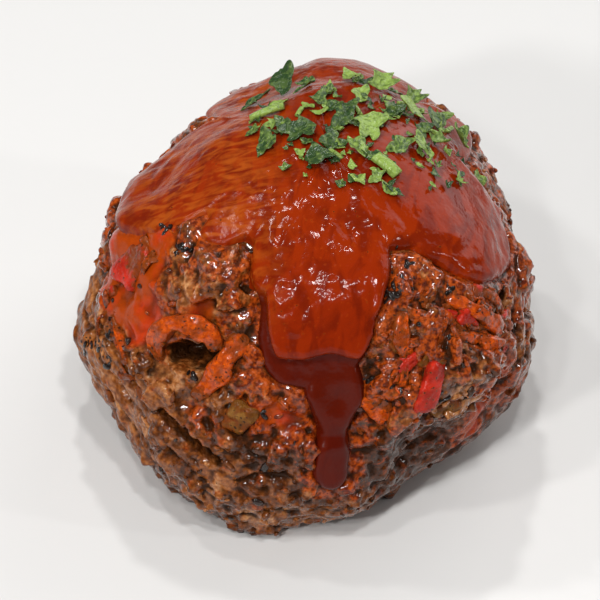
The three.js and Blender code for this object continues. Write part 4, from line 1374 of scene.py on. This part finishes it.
# Crags of a strip: height, pitch, and what is added to its seed.
STRIP_WIDTH_CRAG = (0.36, 3.0, 0)
STRIP_DEPTH_CRAG = (0.25, 3.6, 2)
STRIP_OUT_CRAG = (0.26, 1.5, 1)
STRIP_SIDE_CRAG = (0.34, 1.9, 3)
GROOVE_CRAG = (3, 4.0, 4)
GROOVE_DEPTH, GROOVES = 0.16, 7
CHUNK_PITCH = 0.6           # of its crags, as a share of its width
CHUNK_CRAGS = (0.32, 0.12)
CHUNK_FINENESS, BIT_CHUNK_FINENESS = 4, 3

# Seeded places of shreds and bits, most of them at the right of the front: degrees and heights.
RIGHT_SHARE = 0.42
RIGHT_TURNS, RIGHT_LEVELS = (24, 66), (29, 50)
HIGHEST_LEVEL = 52
BIT_LOWEST, SHRED_LOWEST = 14, 22
BARE_ENOUGH = -1.5
SHRED_REACH = (1.4, 3.4)
MM_TO_DEGREE = 0.62         # length of a degree round the loaf
SHRED_BEND = 0.8
SHRED_END_LIFT, SHRED_LIFT = (-0.2, 0.3), (0.6, 1.3)
SHRED_WIDTHS, SHRED_DEPTHS = (0.9, 1.9), (0.5, 0.9)
PEPPER_BIT_SIZES, CELERY_BIT_SIZES = (1.6, 3.2), (1.5, 3.0)
BIT_STRETCH = ((0.5, 0.9, 0.4), (1.0, 1.7, 0.8))
BIT_LIFT = 0.5
BURIED = (0.1, 1.5)         # height over the meat at which a vegetable is buried, and clear of it
# First seeds of the crags of each kind of piece.
STRIP_SEED, CARROT_SEED, PEPPER_SEED, CELERY_SEED, SHRED_CRAG_SEED, BIT_CRAG_SEED = 70, 80, 90, 95, 100, 300


def curve_through(stations, shares):
    """Places on a smooth curve through the stations, at shares of the way along it."""
    ends = [2 * stations[0] - stations[1], *stations, 2 * stations[-1] - stations[-2]]
    held = np.array(ends)
    along = shares * (len(stations) - 1)
    leg = np.minimum(along.astype(int), len(stations) - 2)
    t = (along - leg)[:, None]
    a, b, c, d = held[leg], held[leg + 1], held[leg + 2], held[leg + 3]
    return 0.5 * (2 * b + (c - a) * t + (2 * a - 5 * b + 4 * c - d) * t ** 2
                  + (3 * b - a - 3 * c + d) * t ** 3)


def seeded_crag(points, layer, seed):
    """Crags of one layer, with the piece's own seed."""
    height, pitch, more = layer
    return height * crag(points, pitch, seed + more)


def strip_piece(stations, width, thick, seed):
    """A bent strip of vegetable with squarish sides and rounded ends."""
    strip = add_sphere("strip", *(LONG_STRIP if len(stations) > 3 else SHORT_STRIP))
    share, turn = shares_of(strip)
    found = [surface_at(at, height) for at, height, _lift in stations]
    middle = np.array([point + normal * lift for (point, normal), (_at, _height, lift)
                       in zip(found, stations)])
    place = curve_through(middle, share)
    ahead = (curve_through(middle, np.minimum(share + CURVE_STEP, 1))
             - curve_through(middle, np.maximum(share - CURVE_STEP, 0)))
    out = curve_through(np.array([normal for _point, normal in found]), share)
    side = np.cross(ahead, out)
    side /= np.linalg.norm(side, axis=1, keepdims=True)
    out /= np.linalg.norm(out, axis=1, keepdims=True)
    sine, cosine = np.sin(turn), np.cos(turn)
    end = (1 - np.abs(2 * share - 1) ** STRIP_END_POWER) ** 0.5
    end *= 1 - STRIP_TAPER + STRIP_TAPER * np.sin(share * math.pi)
    squared = (np.abs(cosine) ** SQUARENESS + np.abs(sine) ** SQUARENESS) ** (-1 / SQUARENESS)
    size = (end * squared)[:, None]
    wide = width / 2 * (1 + seeded_crag(place, STRIP_WIDTH_CRAG, seed))[:, None]
    deep = thick / 2 * (1 + seeded_crag(place, STRIP_DEPTH_CRAG, seed))[:, None]
    points = place + side * size * wide * sine[:, None] - out * size * deep * cosine[:, None]
    grooved = GROOVE_DEPTH * np.cos(turn * GROOVES + seeded_crag(points, GROOVE_CRAG, seed))
    points += out * (seeded_crag(points, STRIP_OUT_CRAG, seed) + grooved - STRIP_SINK)[:, None]
    points += side * seeded_crag(points, STRIP_SIDE_CRAG, seed)[:, None]
    move_to(strip, from_loaf(points))
    return strip


def chunk_piece(turn_degrees, height, size, roll, lift, seed, fineness=CHUNK_FINENESS):
    """A squarish chunk of vegetable pressed into the meat."""
    chunk = add_ball(fineness)
    local = places_of(chunk)
    squared = (np.abs(local) ** SQUARENESS).sum(axis=1) ** (-1 / SQUARENESS)
    place, across, up, out = surface_frame(turn_degrees, height, roll)
    local = local * squared[:, None] * np.array(size) / 2
    pitch = min(size[0], size[1]) * CHUNK_PITCH
    big, small = CHUNK_CRAGS
    local *= (1 + big * crag(local + seed, pitch, seed) + small * crag(local, pitch / 2, seed + 1))[:, None]
    points = place + out * (lift - CHUNK_SINK) + local @ np.array([across, up, out])
    move_to(chunk, from_loaf(points))
    return chunk


def chunk_pieces(chunks, first_seed):
    """The chunks of a list."""
    return [chunk_piece(*chunk, first_seed + number) for number, chunk in enumerate(chunks)]


def bare_places(draw, count, lowest):
    """Seeded (direction, height) places on bare meat, most of them at the right of the front."""
    found = []
    while len(found) < count:
        right = draw.random() < RIGHT_SHARE
        turn = draw.uniform(*(RIGHT_TURNS if right else (-180, 180)))
        height = draw.uniform(*(RIGHT_LEVELS if right else (lowest, HIGHEST_LEVEL)))
        point = smooth_point(np.array([turn * DEGREE]), climb_at(np.array([height])))
        if inside_sauce(point, np.array([turn * DEGREE]))[0] < BARE_ENOUGH:
            found.append((turn, height))
    return found


def shred_pieces(count):
    """Small seeded carrot shreds lying this way and that."""
    draw = np.random.default_rng(SHRED_SEED)
    shreds = []
    for number, (turn, height) in enumerate(bare_places(draw, count, SHRED_LOWEST)):
        reach = draw.uniform(*SHRED_REACH)
        heading = draw.uniform(0, 2 * math.pi)
        step = np.array([math.cos(heading) * reach / MM_TO_DEGREE, math.sin(heading) * reach])
        bend = draw.uniform(-SHRED_BEND, SHRED_BEND)
        stations = ((turn - step[0], height - step[1], draw.uniform(*SHRED_END_LIFT)),
                    (turn + bend, height, draw.uniform(*SHRED_LIFT)),
                    (turn + step[0], height + step[1], draw.uniform(*SHRED_END_LIFT)))
        shreds.append(strip_piece(stations, draw.uniform(*SHRED_WIDTHS), draw.uniform(*SHRED_DEPTHS),
                                  SHRED_CRAG_SEED + number))
    return shreds


def bit_pieces(seed, count, sizes):
    """Small seeded chunks."""
    draw = np.random.default_rng(seed)
    bits = []
    for number, (turn, height) in enumerate(bare_places(draw, count, BIT_LOWEST)):
        size = draw.uniform(*sizes) * draw.uniform(*BIT_STRETCH)
        bits.append(chunk_piece(turn, height, size, draw.uniform(0, 360), BIT_LIFT,
                                BIT_CRAG_SEED + number, BIT_CHUNK_FINENESS))
    return bits


def finish_vegetable(name, pieces, material):
    """Join pieces of one vegetable and give them their finish."""
    piece = join_pieces(pieces)
    piece.name = piece.data.name = name
    points = on_loaf(piece)
    turn, climb = turn_of(points), climb_at(points[:, 2])
    under = smooth_point(turn, climb)
    over = ((points - under) * smooth_normal(turn, climb)).sum(axis=1) - relief(under, turn)
    store(piece, "buried", 1 - ramp(over, *BURIED))
    put_finish(piece, material)


class MEATLOAF_OT_carrot(bpy.types.Operator):
    """Lay the carrot strips, chunks and shreds in the meat"""
    bl_idname = "meatloaf.carrot"
    bl_label = "Carrot pieces"

    def execute(self, context):
        settings = context.scene.meatloaf_vegetables
        pieces = [strip_piece(*strip, STRIP_SEED + n) for n, strip in enumerate(CARROT_STRIPS)]
        pieces += chunk_pieces(CARROT_CHUNKS, CARROT_SEED)
        pieces += shred_pieces(settings.shreds)
        finish_vegetable("carrot_pieces", pieces, carrot_finish(settings))
        return {"FINISHED"}


class MEATLOAF_OT_pepper(bpy.types.Operator):
    """Press the red pepper pieces into the meat"""
    bl_idname = "meatloaf.pepper"
    bl_label = "Red pepper pieces"

    def execute(self, context):
        settings = context.scene.meatloaf_vegetables
        pieces = chunk_pieces(PEPPER_CHUNKS, PEPPER_SEED)
        pieces += bit_pieces(BIT_SEED, settings.bits, PEPPER_BIT_SIZES)
        finish_vegetable("pepper_pieces", pieces, pepper_finish(settings))
        return {"FINISHED"}


class MEATLOAF_OT_celery(bpy.types.Operator):
    """Press the celery and onion pieces into the meat"""
    bl_idname = "meatloaf.celery"
    bl_label = "Celery pieces"

    def execute(self, context):
        settings = context.scene.meatloaf_vegetables
        pieces = chunk_pieces(CELERY_CHUNKS, CELERY_SEED)
        pieces += bit_pieces(BIT_SEED + 1, settings.bits, CELERY_BIT_SIZES)
        finish_vegetable("celery_pieces", pieces, celery_finish(settings))
        return {"FINISHED"}


# ---------------------------------------------------------------- the sauce

SAUCE_FACETS = (112, 72, 2) # round it, up it, and cuts across each
SAUCE_LOWEST = 0.13         # climb down to which the sauce's facets reach
SAUCE_CROWDING = 0.36       # how much closer together the sauce's facets stand at the front
SAUCE_DIVE = -0.9           # how far past its edge, under the meat, the sauce is kept
SAUCE_SHEET = 0.7           # thickness of the sauce's sheet as a share of its depth
SAUCE_THINNEST = 0.35
EDGE_CRAG = (0.5, 3.2, 81)
# The sag over the lip: its height over the lip and reach, its turns and the sauce's edge.
SAG_OVER, SAG_REACH, SAG_TURNS, SAG_EDGE = 0.9, 1.2, (17, 24), (0, 3)
# Where its colour is streaked: over the left shoulder, and over the back.
STREAKED_LEFT, STREAKED_LEVELS = (2, 14), (40, 50)
STREAKED_BACK, STREAKED_BACK_SHARE = (5, 22), 0.35
# Where painted shade darkens it under the lip and down the drip: heights from the lip, distances to the
# front and turns in radians.
UNDER_LIP_SHADE_LEVELS, UNDER_LIP_SHADE_FRONT, UNDER_LIP_SHADE_TURNS = (-0.5, 1.0), (10, 25), (0.45, 0.7)


def build_sauce():
    """Mould the sauce over the meat, cut it at its edge and close its under side."""
    sauce = add_sphere("tomato_sauce_cap", *SAUCE_FACETS)
    share, even = shares_of(sauce)
    turn = even - SAUCE_CROWDING * np.sin(even)
    climb = np.clip(1 - share * (1 - SAUCE_LOWEST), 0, 1)
    points = smooth_point(turn, climb)
    normal = smooth_normal(turn, climb)
    inside = inside_sauce(points, turn) + crags(points, EDGE_CRAG)
    depth = sauce_depth(points, turn, inside)
    raised = points + normal * (relief(points, turn) + SKIN_GAP + depth)[:, None]
    lip = lip_level(points, turn)
    over = (points[:, 2] - lip - SAG_OVER) / SAG_REACH
    sag = LIP_OVERHANG * np.exp(-over ** 2) * (1 - ramp(beside_flow(turn), *SAG_TURNS))
    down = normal * normal[:, 2:] - (0, 0, 1)
    raised += down * (sag * ramp(inside, *SAG_EDGE))[:, None]
    move_to(sauce, from_loaf(raised))
    full = SAUCE_FULL + SAUCE_FLOW
    store(sauce, "depth", np.clip(depth / full, 0, 1))
    thin = ramp(-points[:, 0], *STREAKED_LEFT) * ramp(points[:, 2], *STREAKED_LEVELS)
    store(sauce, "thin", np.clip(thin + STREAKED_BACK_SHARE * ramp(points[:, 1], *STREAKED_BACK), 0, 1))
    # painted shade under the lip, over the lower sheet and the drip
    below_lip = 1 - ramp(points[:, 2], lip + UNDER_LIP_SHADE_LEVELS[0], lip + UNDER_LIP_SHADE_LEVELS[1])
    front = ramp(-points[:, 1], *UNDER_LIP_SHADE_FRONT) * (1 - ramp(np.abs(turn), *UNDER_LIP_SHADE_TURNS))
    store(sauce, "low", below_lip * front)

    group = sauce.vertex_groups.new(name="depth")
    for number, thickness in enumerate(np.clip(depth * SAUCE_SHEET, SAUCE_THINNEST, full) / full):
        group.add([number], float(thickness), "REPLACE")
    outside = inside < SAUCE_DIVE
    corners = np.empty(len(sauce.data.loops), dtype=np.int64)
    sauce.data.loops.foreach_get("vertex_index", corners)
    starts = np.empty(len(sauce.data.polygons), dtype=np.int64)
    sauce.data.polygons.foreach_get("loop_start", starts)
    gone = np.minimum.reduceat(outside[corners].astype(int), starts) > 0
    select_only(sauce)
    bpy.ops.object.mode_set(mode="EDIT")
    bpy.ops.mesh.select_mode(type="FACE")
    bpy.ops.mesh.select_all(action="DESELECT")
    bpy.ops.object.mode_set(mode="OBJECT")
    sauce.data.polygons.foreach_set("select", gone)
    bpy.ops.object.mode_set(mode="EDIT")
    bpy.ops.mesh.delete(type="FACE")
    bpy.ops.object.mode_set(mode="OBJECT")
    finish_modifier(sauce, "SOLIDIFY", thickness=full * MM, offset=-1.0, vertex_group="depth", use_rim=True)
    return sauce


class MEATLOAF_OT_sauce(bpy.types.Operator):
    """Pour the cap of tomato sauce over the meat"""
    bl_idname = "meatloaf.sauce"
    bl_label = "Tomato sauce"

    def execute(self, context):
        sauce = build_sauce()
        put_finish(sauce, sauce_finish(context.scene.meatloaf_sauce))
        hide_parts("tomato_sauce")
        return {"FINISHED"}


# ---------------------------------------------------------------- parsley

# Leaves: x and y in mm, length, width, heading and tilt in degrees, and tone from dark to light.
LEAVES = (
    (-5.6, 15.5, 7.4, 4.2, 86, 34, 0.10), (-10.4, 15.0, 4.2, 2.6, 30, 15, 0.15),
    (-0.4, 7.4, 4.0, 3.2, 120, 20, 0.35), (-2.4, 13.0, 4.6, 1.8, 15, 14, 0.30),
    (5.0, 17.2, 4.0, 3.4, 20, 20, 0.75), (10.3, 16.0, 5.0, 4.2, 70, 34, 0.70),
    (6.8, 9.8, 4.2, 3.0, 100, 16, 0.72), (4.3, 2.6, 7.0, 4.0, 78, 14, 0.18),
    (8.3, 0.4, 7.4, 4.8, 98, 18, 0.78), (15.5, 10.2, 6.8, 4.2, 170, 15, 0.85),
    (19.3, 10.4, 5.4, 4.2, 140, 22, 0.28), (24.2, 10.6, 5.2, 3.0, 160, 18, 0.48),
    (17.7, -1.4, 6.0, 3.0, 150, 12, 0.62), (13.7, -3.2, 4.6, 3.4, 60, 22, 0.45),
    (-2.7, -2.2, 7.6, 4.8, 24, 18, 0.12), (-8.8, -4.8, 5.0, 3.8, 40, 24, 0.30),
    (-0.3, -9.4, 6.8, 4.0, 5, 22, 0.15), (6.4, -6.0, 5.2, 3.0, 150, 12, 0.60),
    (1.6, -5.4, 4.2, 3.4, 110, 22, 0.20), (10.0, -12.0, 3.0, 2.2, 70, 12, 0.60),
    (-7.8, 1.2, 3.2, 2.0, 60, 12, 0.65), (-11.4, -0.3, 2.6, 2.0, 10, 12, 0.40),
    (27.6, 4.6, 4.4, 2.6, 120, 16, 0.50), (15.7, 16.4, 4.8, 3.4, 80, 30, 0.50),
    (2.2, 5.0, 3.4, 2.6, 30, 18, 0.20), (10.8, 3.6, 3.6, 2.6, 15, 12, 0.66),
    (21.0, 14.4, 4.2, 2.6, 100, 16, 0.55), (-12.0, 12.5, 3.4, 2.0, 20, 12, 0.20),
    (3.9, -14.6, 2.4, 1.4, 80, 8, 0.30), (-5.5, -11.2, 2.2, 1.6, 30, 8, 0.40),
    (12.4, 7.0, 4.0, 3.0, 65, 18, 0.25), (9.6, -7.4, 3.6, 2.4, 20, 14, 0.25),
    (17.0, 3.8, 4.4, 3.0, 110, 18, 0.30), (-6.2, -0.6, 3.6, 2.8, 70, 20, 0.18),
    (1.0, 10.6, 3.2, 2.4, 140, 14, 0.24), (20.6, 3.4, 4.2, 2.6, 35, 14, 0.55),
)
# Cut stems: x and y in mm, length, width, heading and tilt in degrees, and tone.
STEMS = (
    (-9.0, 5.2, 6.2, 1.9, 14, 6, 0.80), (11.4, -9.3, 5.0, 2.5, 152, 8, 0.95),
    (14.6, 13.2, 3.6, 1.0, 40, 6, 0.85), (6.2, 5.6, 3.0, 0.9, 120, 6, 0.85),
    (-3.6, 3.8, 2.6, 0.9, 70, 6, 0.75), (19.4, 6.6, 3.0, 1.1, 10, 6, 0.85),
    (2.8, -7.8, 2.8, 0.9, 160, 6, 0.80), (22.8, 12.6, 2.6, 0.9, 60, 6, 0.8),
)
LEAF_KINDS = 6
LEAF_FINENESS = 10
BIT_FINENESS = 6
LEAF_SPREAD = 1.60          # the lobes' cuts take this much off a leaf's length and width
PARSLEY_SEED = 2417
PARSLEY_PATCH = (7.0, 1.5, 19.0, 18.0)      # x and y of its middle, reach across and deep
PARSLEY_TOP = 63.2          # mm: leaves are bent over above this
PARSLEY_BEND = 0.7          # share of what stands above it that is taken off
LOBE_DEPTH, LOBE_POWER = 0.52, 0.9
EDGE_TEETH, EDGE_TOOTH = 9, 0.06
CUT_SLANTS, CUT_PLACES, CUT_AWAY = (-0.8, 0.8), (0.25, 0.6), 0.9
LEAF_BENDS, LEAF_FOLDS, FOLD_POWER, LEAF_RIPPLE = (-0.7, 0.7), (0.25, 0.75), 1.3, 0.13
LEAF_LIFT, TALLEST_LEAF = 0.35, 4.0         # mm
STEM_FACETS = (10, 12)      # round it and along it
STEM_END_POWER, STEM_REACH, STEM_SWAY, STEM_BOW = 16, 1.2, 0.04, 0.16
STEM_GROOVE, STEM_GROOVE_TURN, STEM_GROOVE_WIDTH = 0.25, 0.2, 0.5
STEM_LIFT, STEM_DEPTH = 0.3, 0.8            # shares of its width
TILT_RISE = 0.28            # share of the length by which a tilted leaf is raised
ABOVE_LOAF = 0.2            # m: from here a leaf is dropped
BIT_SIZES, BIT_WIDTHS, BIT_TILTS = (0.9, 3.0), (0.4, 0.9), (-16, 16)
BIT_CROWDING, BIT_TONE_POWER = 0.6, 1.4


def leaf_shape(kind, fineness, thickness):
    """A chopped leaf, 1 mm long and wide before it is scaled: lobed, curled, closed all round."""
    bpy.ops.object.select_all(action="DESELECT")
    bpy.ops.mesh.primitive_grid_add(x_subdivisions=fineness, y_subdivisions=fineness, size=2)
    leaf = bpy.context.active_object
    u, v, _flat = places_of(leaf).T
    draw = np.random.default_rng(PARSLEY_SEED + kind)
    x, y = u * np.sqrt(1 - v ** 2 / 2), v * np.sqrt(1 - u ** 2 / 2)
    around, away = np.arctan2(y, x), np.hypot(x, y)
    cuts = 1.5 + 0.5 * (kind % 3)
    lobes = (1 - LOBE_DEPTH * np.abs(np.sin(cuts * around + draw.uniform(0, 3))) ** LOBE_POWER
             + EDGE_TOOTH * np.cos(EDGE_TEETH * around + draw.uniform(0, 6)))
    reach = mix(1, lobes, ramp(away, 0, 1))
    x, y = x * reach, y * reach
    for slant in draw.uniform(*CUT_SLANTS, 2):
        beyond = np.maximum(0, x * math.cos(slant) + y * math.sin(slant) - draw.uniform(*CUT_PLACES))
        x, y = -(x - CUT_AWAY * beyond * math.cos(slant)), y - CUT_AWAY * beyond * math.sin(slant)
    bend, fold = draw.uniform(*LEAF_BENDS), draw.uniform(*LEAF_FOLDS)
    ripple = LEAF_RIPPLE * np.sin(5 * x + 4 * y + kind) * away
    bent = bend * (x * math.cos(kind) + y * math.sin(kind)) ** 2
    height = bent + fold * np.abs(y) ** FOLD_POWER + ripple
    move_to(leaf, np.stack([x, y, height], axis=1) / 2)
    finish_modifier(leaf, "SOLIDIFY", thickness=thickness / MM / 4, offset=0)
    if fineness > BIT_FINENESS:
        finish_modifier(leaf, "SUBSURF", levels=1, render_levels=1)
    return leaf


def stem_shape():
    """A cut stem, 1 mm long: a grooved rod with flat ends."""
    stem = add_sphere("stem", *STEM_FACETS)
    share, turn = shares_of(stem)
    end = (1 - np.abs(2 * share - 1) ** STEM_END_POWER) ** 0.5
    groove = 1 - STEM_GROOVE * np.exp(-((turn - STEM_GROOVE_TURN) / STEM_GROOVE_WIDTH) ** 2)
    along = np.clip((share - 0.5) * STEM_REACH, -0.5, 0.5)
    sine, cosine = np.sin(turn), np.cos(turn)
    places = np.stack([along + STEM_SWAY * sine, end * groove * sine * 0.5,
                       end * groove * cosine * 0.5 + STEM_BOW * np.sin(share * math.pi)], axis=1)
    move_to(stem, places)
    edit_all(bpy.ops.mesh.normals_make_consistent, inside=False)
    return stem


def resting_frame(trees, item, lift, tallness, larger=1.0):
    """The frame of a leaf or stem on the sauce, or on the meat beside it, below its place."""
    x, y, long, wide, heading, tilt, _tone = item
    long, wide = long * larger, wide * larger
    above, down = Vector((x * MM, y * MM, ABOVE_LOAF)), Vector((0, 0, -1))
    hits = [tree.ray_cast(above, down) for tree in trees]
    hit, normal, _face, _gap = min((found for found in hits if found[0]), key=lambda found: found[3])
    turned = Matrix.Rotation(heading * DEGREE, 3, "Z") @ Matrix.Rotation(-tilt * DEGREE, 3, "Y")
    turned = Vector((0, 0, 1)).rotation_difference(normal).to_matrix() @ turned
    rise = lift + abs(math.sin(tilt * DEGREE)) * long * TILT_RISE
    sides = [turned @ Vector(side) * MM for side in ((long, 0, 0), (0, wide, 0), (0, 0, tallness))]
    return np.array([*sides, hit + normal * rise * MM])


def seeded_bits(count):
    """Small bits of parsley scattered between the leaves, thickest at the patch's middle."""
    draw = np.random.default_rng(PARSLEY_SEED)
    x, y, across, deep = PARSLEY_PATCH
    bits = []
    for _bit in range(count):
        away = draw.random() ** BIT_CROWDING
        angle = draw.uniform(0, 2 * math.pi)
        size = draw.uniform(*BIT_SIZES)
        bits.append((x + across * away * math.cos(angle), y + deep * away * math.sin(angle), size,
                     size * draw.uniform(*BIT_WIDTHS), draw.uniform(0, 360), draw.uniform(*BIT_TILTS),
                     draw.random() ** BIT_TONE_POWER))
    return bits


class MEATLOAF_OT_parsley(bpy.types.Operator):
    """Scatter chopped parsley over the crown"""
    bl_idname = "meatloaf.parsley"
    bl_label = "Parsley"

    def execute(self, context):
        settings = context.scene.meatloaf_parsley
        ready = context.evaluated_depsgraph_get()
        trees = [BVHTree.FromObject(bpy.data.objects[name], ready)
                 for name in ("tomato_sauce_cap", "baked_meat")]
        material = parsley_finish(settings)

        leaves = [leaf_shape(kind, fineness, settings.thickness)
                  for fineness in (LEAF_FINENESS, BIT_FINENESS) for kind in range(LEAF_KINDS)]
        laid = list(LEAVES) + seeded_bits(settings.bits)
        frames = [resting_frame(trees, item, LEAF_LIFT, min(item[2], TALLEST_LEAF), LEAF_SPREAD)
                  for item in laid]
        kinds = [number % LEAF_KINDS + LEAF_KINDS * (number >= len(LEAVES)) for number in range(len(laid))]
        piece = copies_of("parsley_leaves", leaves, kinds, frames, {"tone": [item[6] for item in laid]})
        discard(leaves)
        places = places_of(piece)
        places[:, 2] -= PARSLEY_BEND * np.maximum(0, places[:, 2] - PARSLEY_TOP * MM)
        move_to(piece, places)
        put_finish(piece, material)

        stem = stem_shape()
        frames = [resting_frame(trees, item, item[3] * STEM_LIFT, item[3] * STEM_DEPTH) for item in STEMS]
        piece = copies_of("parsley_stems", [stem], [0] * len(frames), frames,
                          {"tone": [item[6] for item in STEMS]})
        discard([stem])
        put_finish(piece, material)
        return {"FINISHED"}


# ---------------------------------------------------------------- the stage

CAMERA_PLACE = (-0.02169, -0.83686, 0.75115)
CAMERA_AIM = (-0.00126, -0.00766, 0.0280)
CAMERA_ROLL = 4.54
# Soft lights: name, direction and height in degrees, distance, size and power.
LIGHTS = (
    ("key", -29, 35, 0.9, 0.055, 2.6),
    ("key high", -17, 46, 0.9, 0.045, 1.3),
    ("left", -48, 55, 0.9, 0.055, 1.4),
    ("shoulder", -110, 58, 0.9, 0.055, 1.2),
    ("crest", -165, 66, 0.9, 0.060, 1.9),
    ("over", 10, 66, 0.9, 0.060, 2.1),
    ("over left", -12, 58, 0.9, 0.045, 1.0),
    ("back", 139, 27, 1.2, 1.1, 8.2),
    ("side", 78, 24, 1.0, 0.050, 1.2),
)
SKY_COLOUR, SKY_STRENGTH = (0.95, 0.97, 1.0, 1.0), 0.12
FLOOR_SIZE = 6              # m
SENSOR_WIDTH = 36.0         # mm
SIGHT = 20.0                # m: how far the camera sees


def add_light(name, direction, height, distance, size, power):
    """A soft square light that faces the loaf."""
    bpy.ops.object.select_all(action="DESELECT")
    toward = Vector((math.sin(direction * DEGREE) * math.cos(height * DEGREE),
                     -math.cos(direction * DEGREE) * math.cos(height * DEGREE), math.sin(height * DEGREE)))
    aim = Vector(CAMERA_AIM)
    bpy.ops.object.light_add(type="AREA", location=aim + toward * distance)
    light = bpy.context.active_object
    light.name = light.data.name = name
    light.rotation_euler = toward.to_track_quat("Z", "Y").to_euler()
    light.data.size = size
    light.data.energy = power


class MEATLOAF_OT_stage(bpy.types.Operator):
    """Set the floor, the soft lights and the camera"""
    bl_idname = "meatloaf.stage"
    bl_label = "Stage"

    def execute(self, context):
        settings = context.scene.meatloaf_stage
        bpy.ops.object.select_all(action="DESELECT")
        bpy.ops.mesh.primitive_plane_add(size=FLOOR_SIZE)
        floor = bpy.context.active_object
        floor.name = floor.data.name = "floor"
        floor.data.materials.append(floor_finish(settings))
        for light in LIGHTS:
            add_light(*light)
        world = bpy.data.worlds.new("studio")
        world.use_nodes = True
        sky = world.node_tree.nodes["Background"].inputs
        sky["Color"].default_value = SKY_COLOUR
        sky["Strength"].default_value = SKY_STRENGTH
        context.scene.world = world
        context.scene.view_settings.view_transform = "Standard"

        place, aim = Vector(CAMERA_PLACE), Vector(CAMERA_AIM)
        ahead = (aim - place).normalized()
        level = ahead.cross(Vector((0, 0, 1))).normalized()
        roll = CAMERA_ROLL * DEGREE
        right = level * math.cos(roll) + level.cross(ahead) * math.sin(roll)
        up = right.cross(ahead)
        bpy.ops.object.camera_add(location=aim - ahead * settings.distance)
        camera = bpy.context.active_object
        camera.rotation_euler = Matrix((right, up, -ahead)).transposed().to_euler()
        camera.data.lens = settings.lens
        camera.data.sensor_width = SENSOR_WIDTH
        camera.data.clip_end = SIGHT
        context.scene.camera = camera
        return {"FINISHED"}


# ---------------------------------------------------------------- panel and registration

OPERATORS = (MEATLOAF_OT_stage, MEATLOAF_OT_meat, MEATLOAF_OT_carrot, MEATLOAF_OT_pepper,
             MEATLOAF_OT_celery, MEATLOAF_OT_sauce, MEATLOAF_OT_crumbs, MEATLOAF_OT_parsley)
SETTINGS = {
    "meatloaf_meat": MeatSettings,
    "meatloaf_vegetables": VegetableSettings,
    "meatloaf_sauce": SauceSettings,
    "meatloaf_parsley": ParsleySettings,
    "meatloaf_stage": StageSettings,
}


class MEATLOAF_PT_panel(bpy.types.Panel):
    """Lists the settings and the pieces in the 3D view's sidebar"""
    bl_idname = "MEATLOAF_PT_panel"
    bl_label = "Meatloaf"
    bl_space_type = "VIEW_3D"
    bl_region_type = "UI"
    bl_category = "Meatloaf"

    def draw(self, context):
        for label, group in SETTINGS.items():
            box = self.layout.box()
            for name in group.__annotations__:
                box.prop(getattr(context.scene, label), name)
        for operator in OPERATORS:
            self.layout.operator(operator.bl_idname)


def register():
    for group in (*SETTINGS.values(), *OPERATORS, MEATLOAF_PT_panel):
        bpy.utils.register_class(group)
    for label, group in SETTINGS.items():
        setattr(bpy.types.Scene, label, PointerProperty(type=group))


def unregister():
    for label in SETTINGS:
        delattr(bpy.types.Scene, label)
    for group in (MEATLOAF_PT_panel, *reversed(OPERATORS), *reversed(SETTINGS.values())):
        bpy.utils.unregister_class(group)


def main():
    """Make every piece in order."""
    register()
    for operator in OPERATORS:
        family, name = operator.bl_idname.split(".")
        getattr(getattr(bpy.ops, family), name)()


if __name__ == "__main__":
    main()
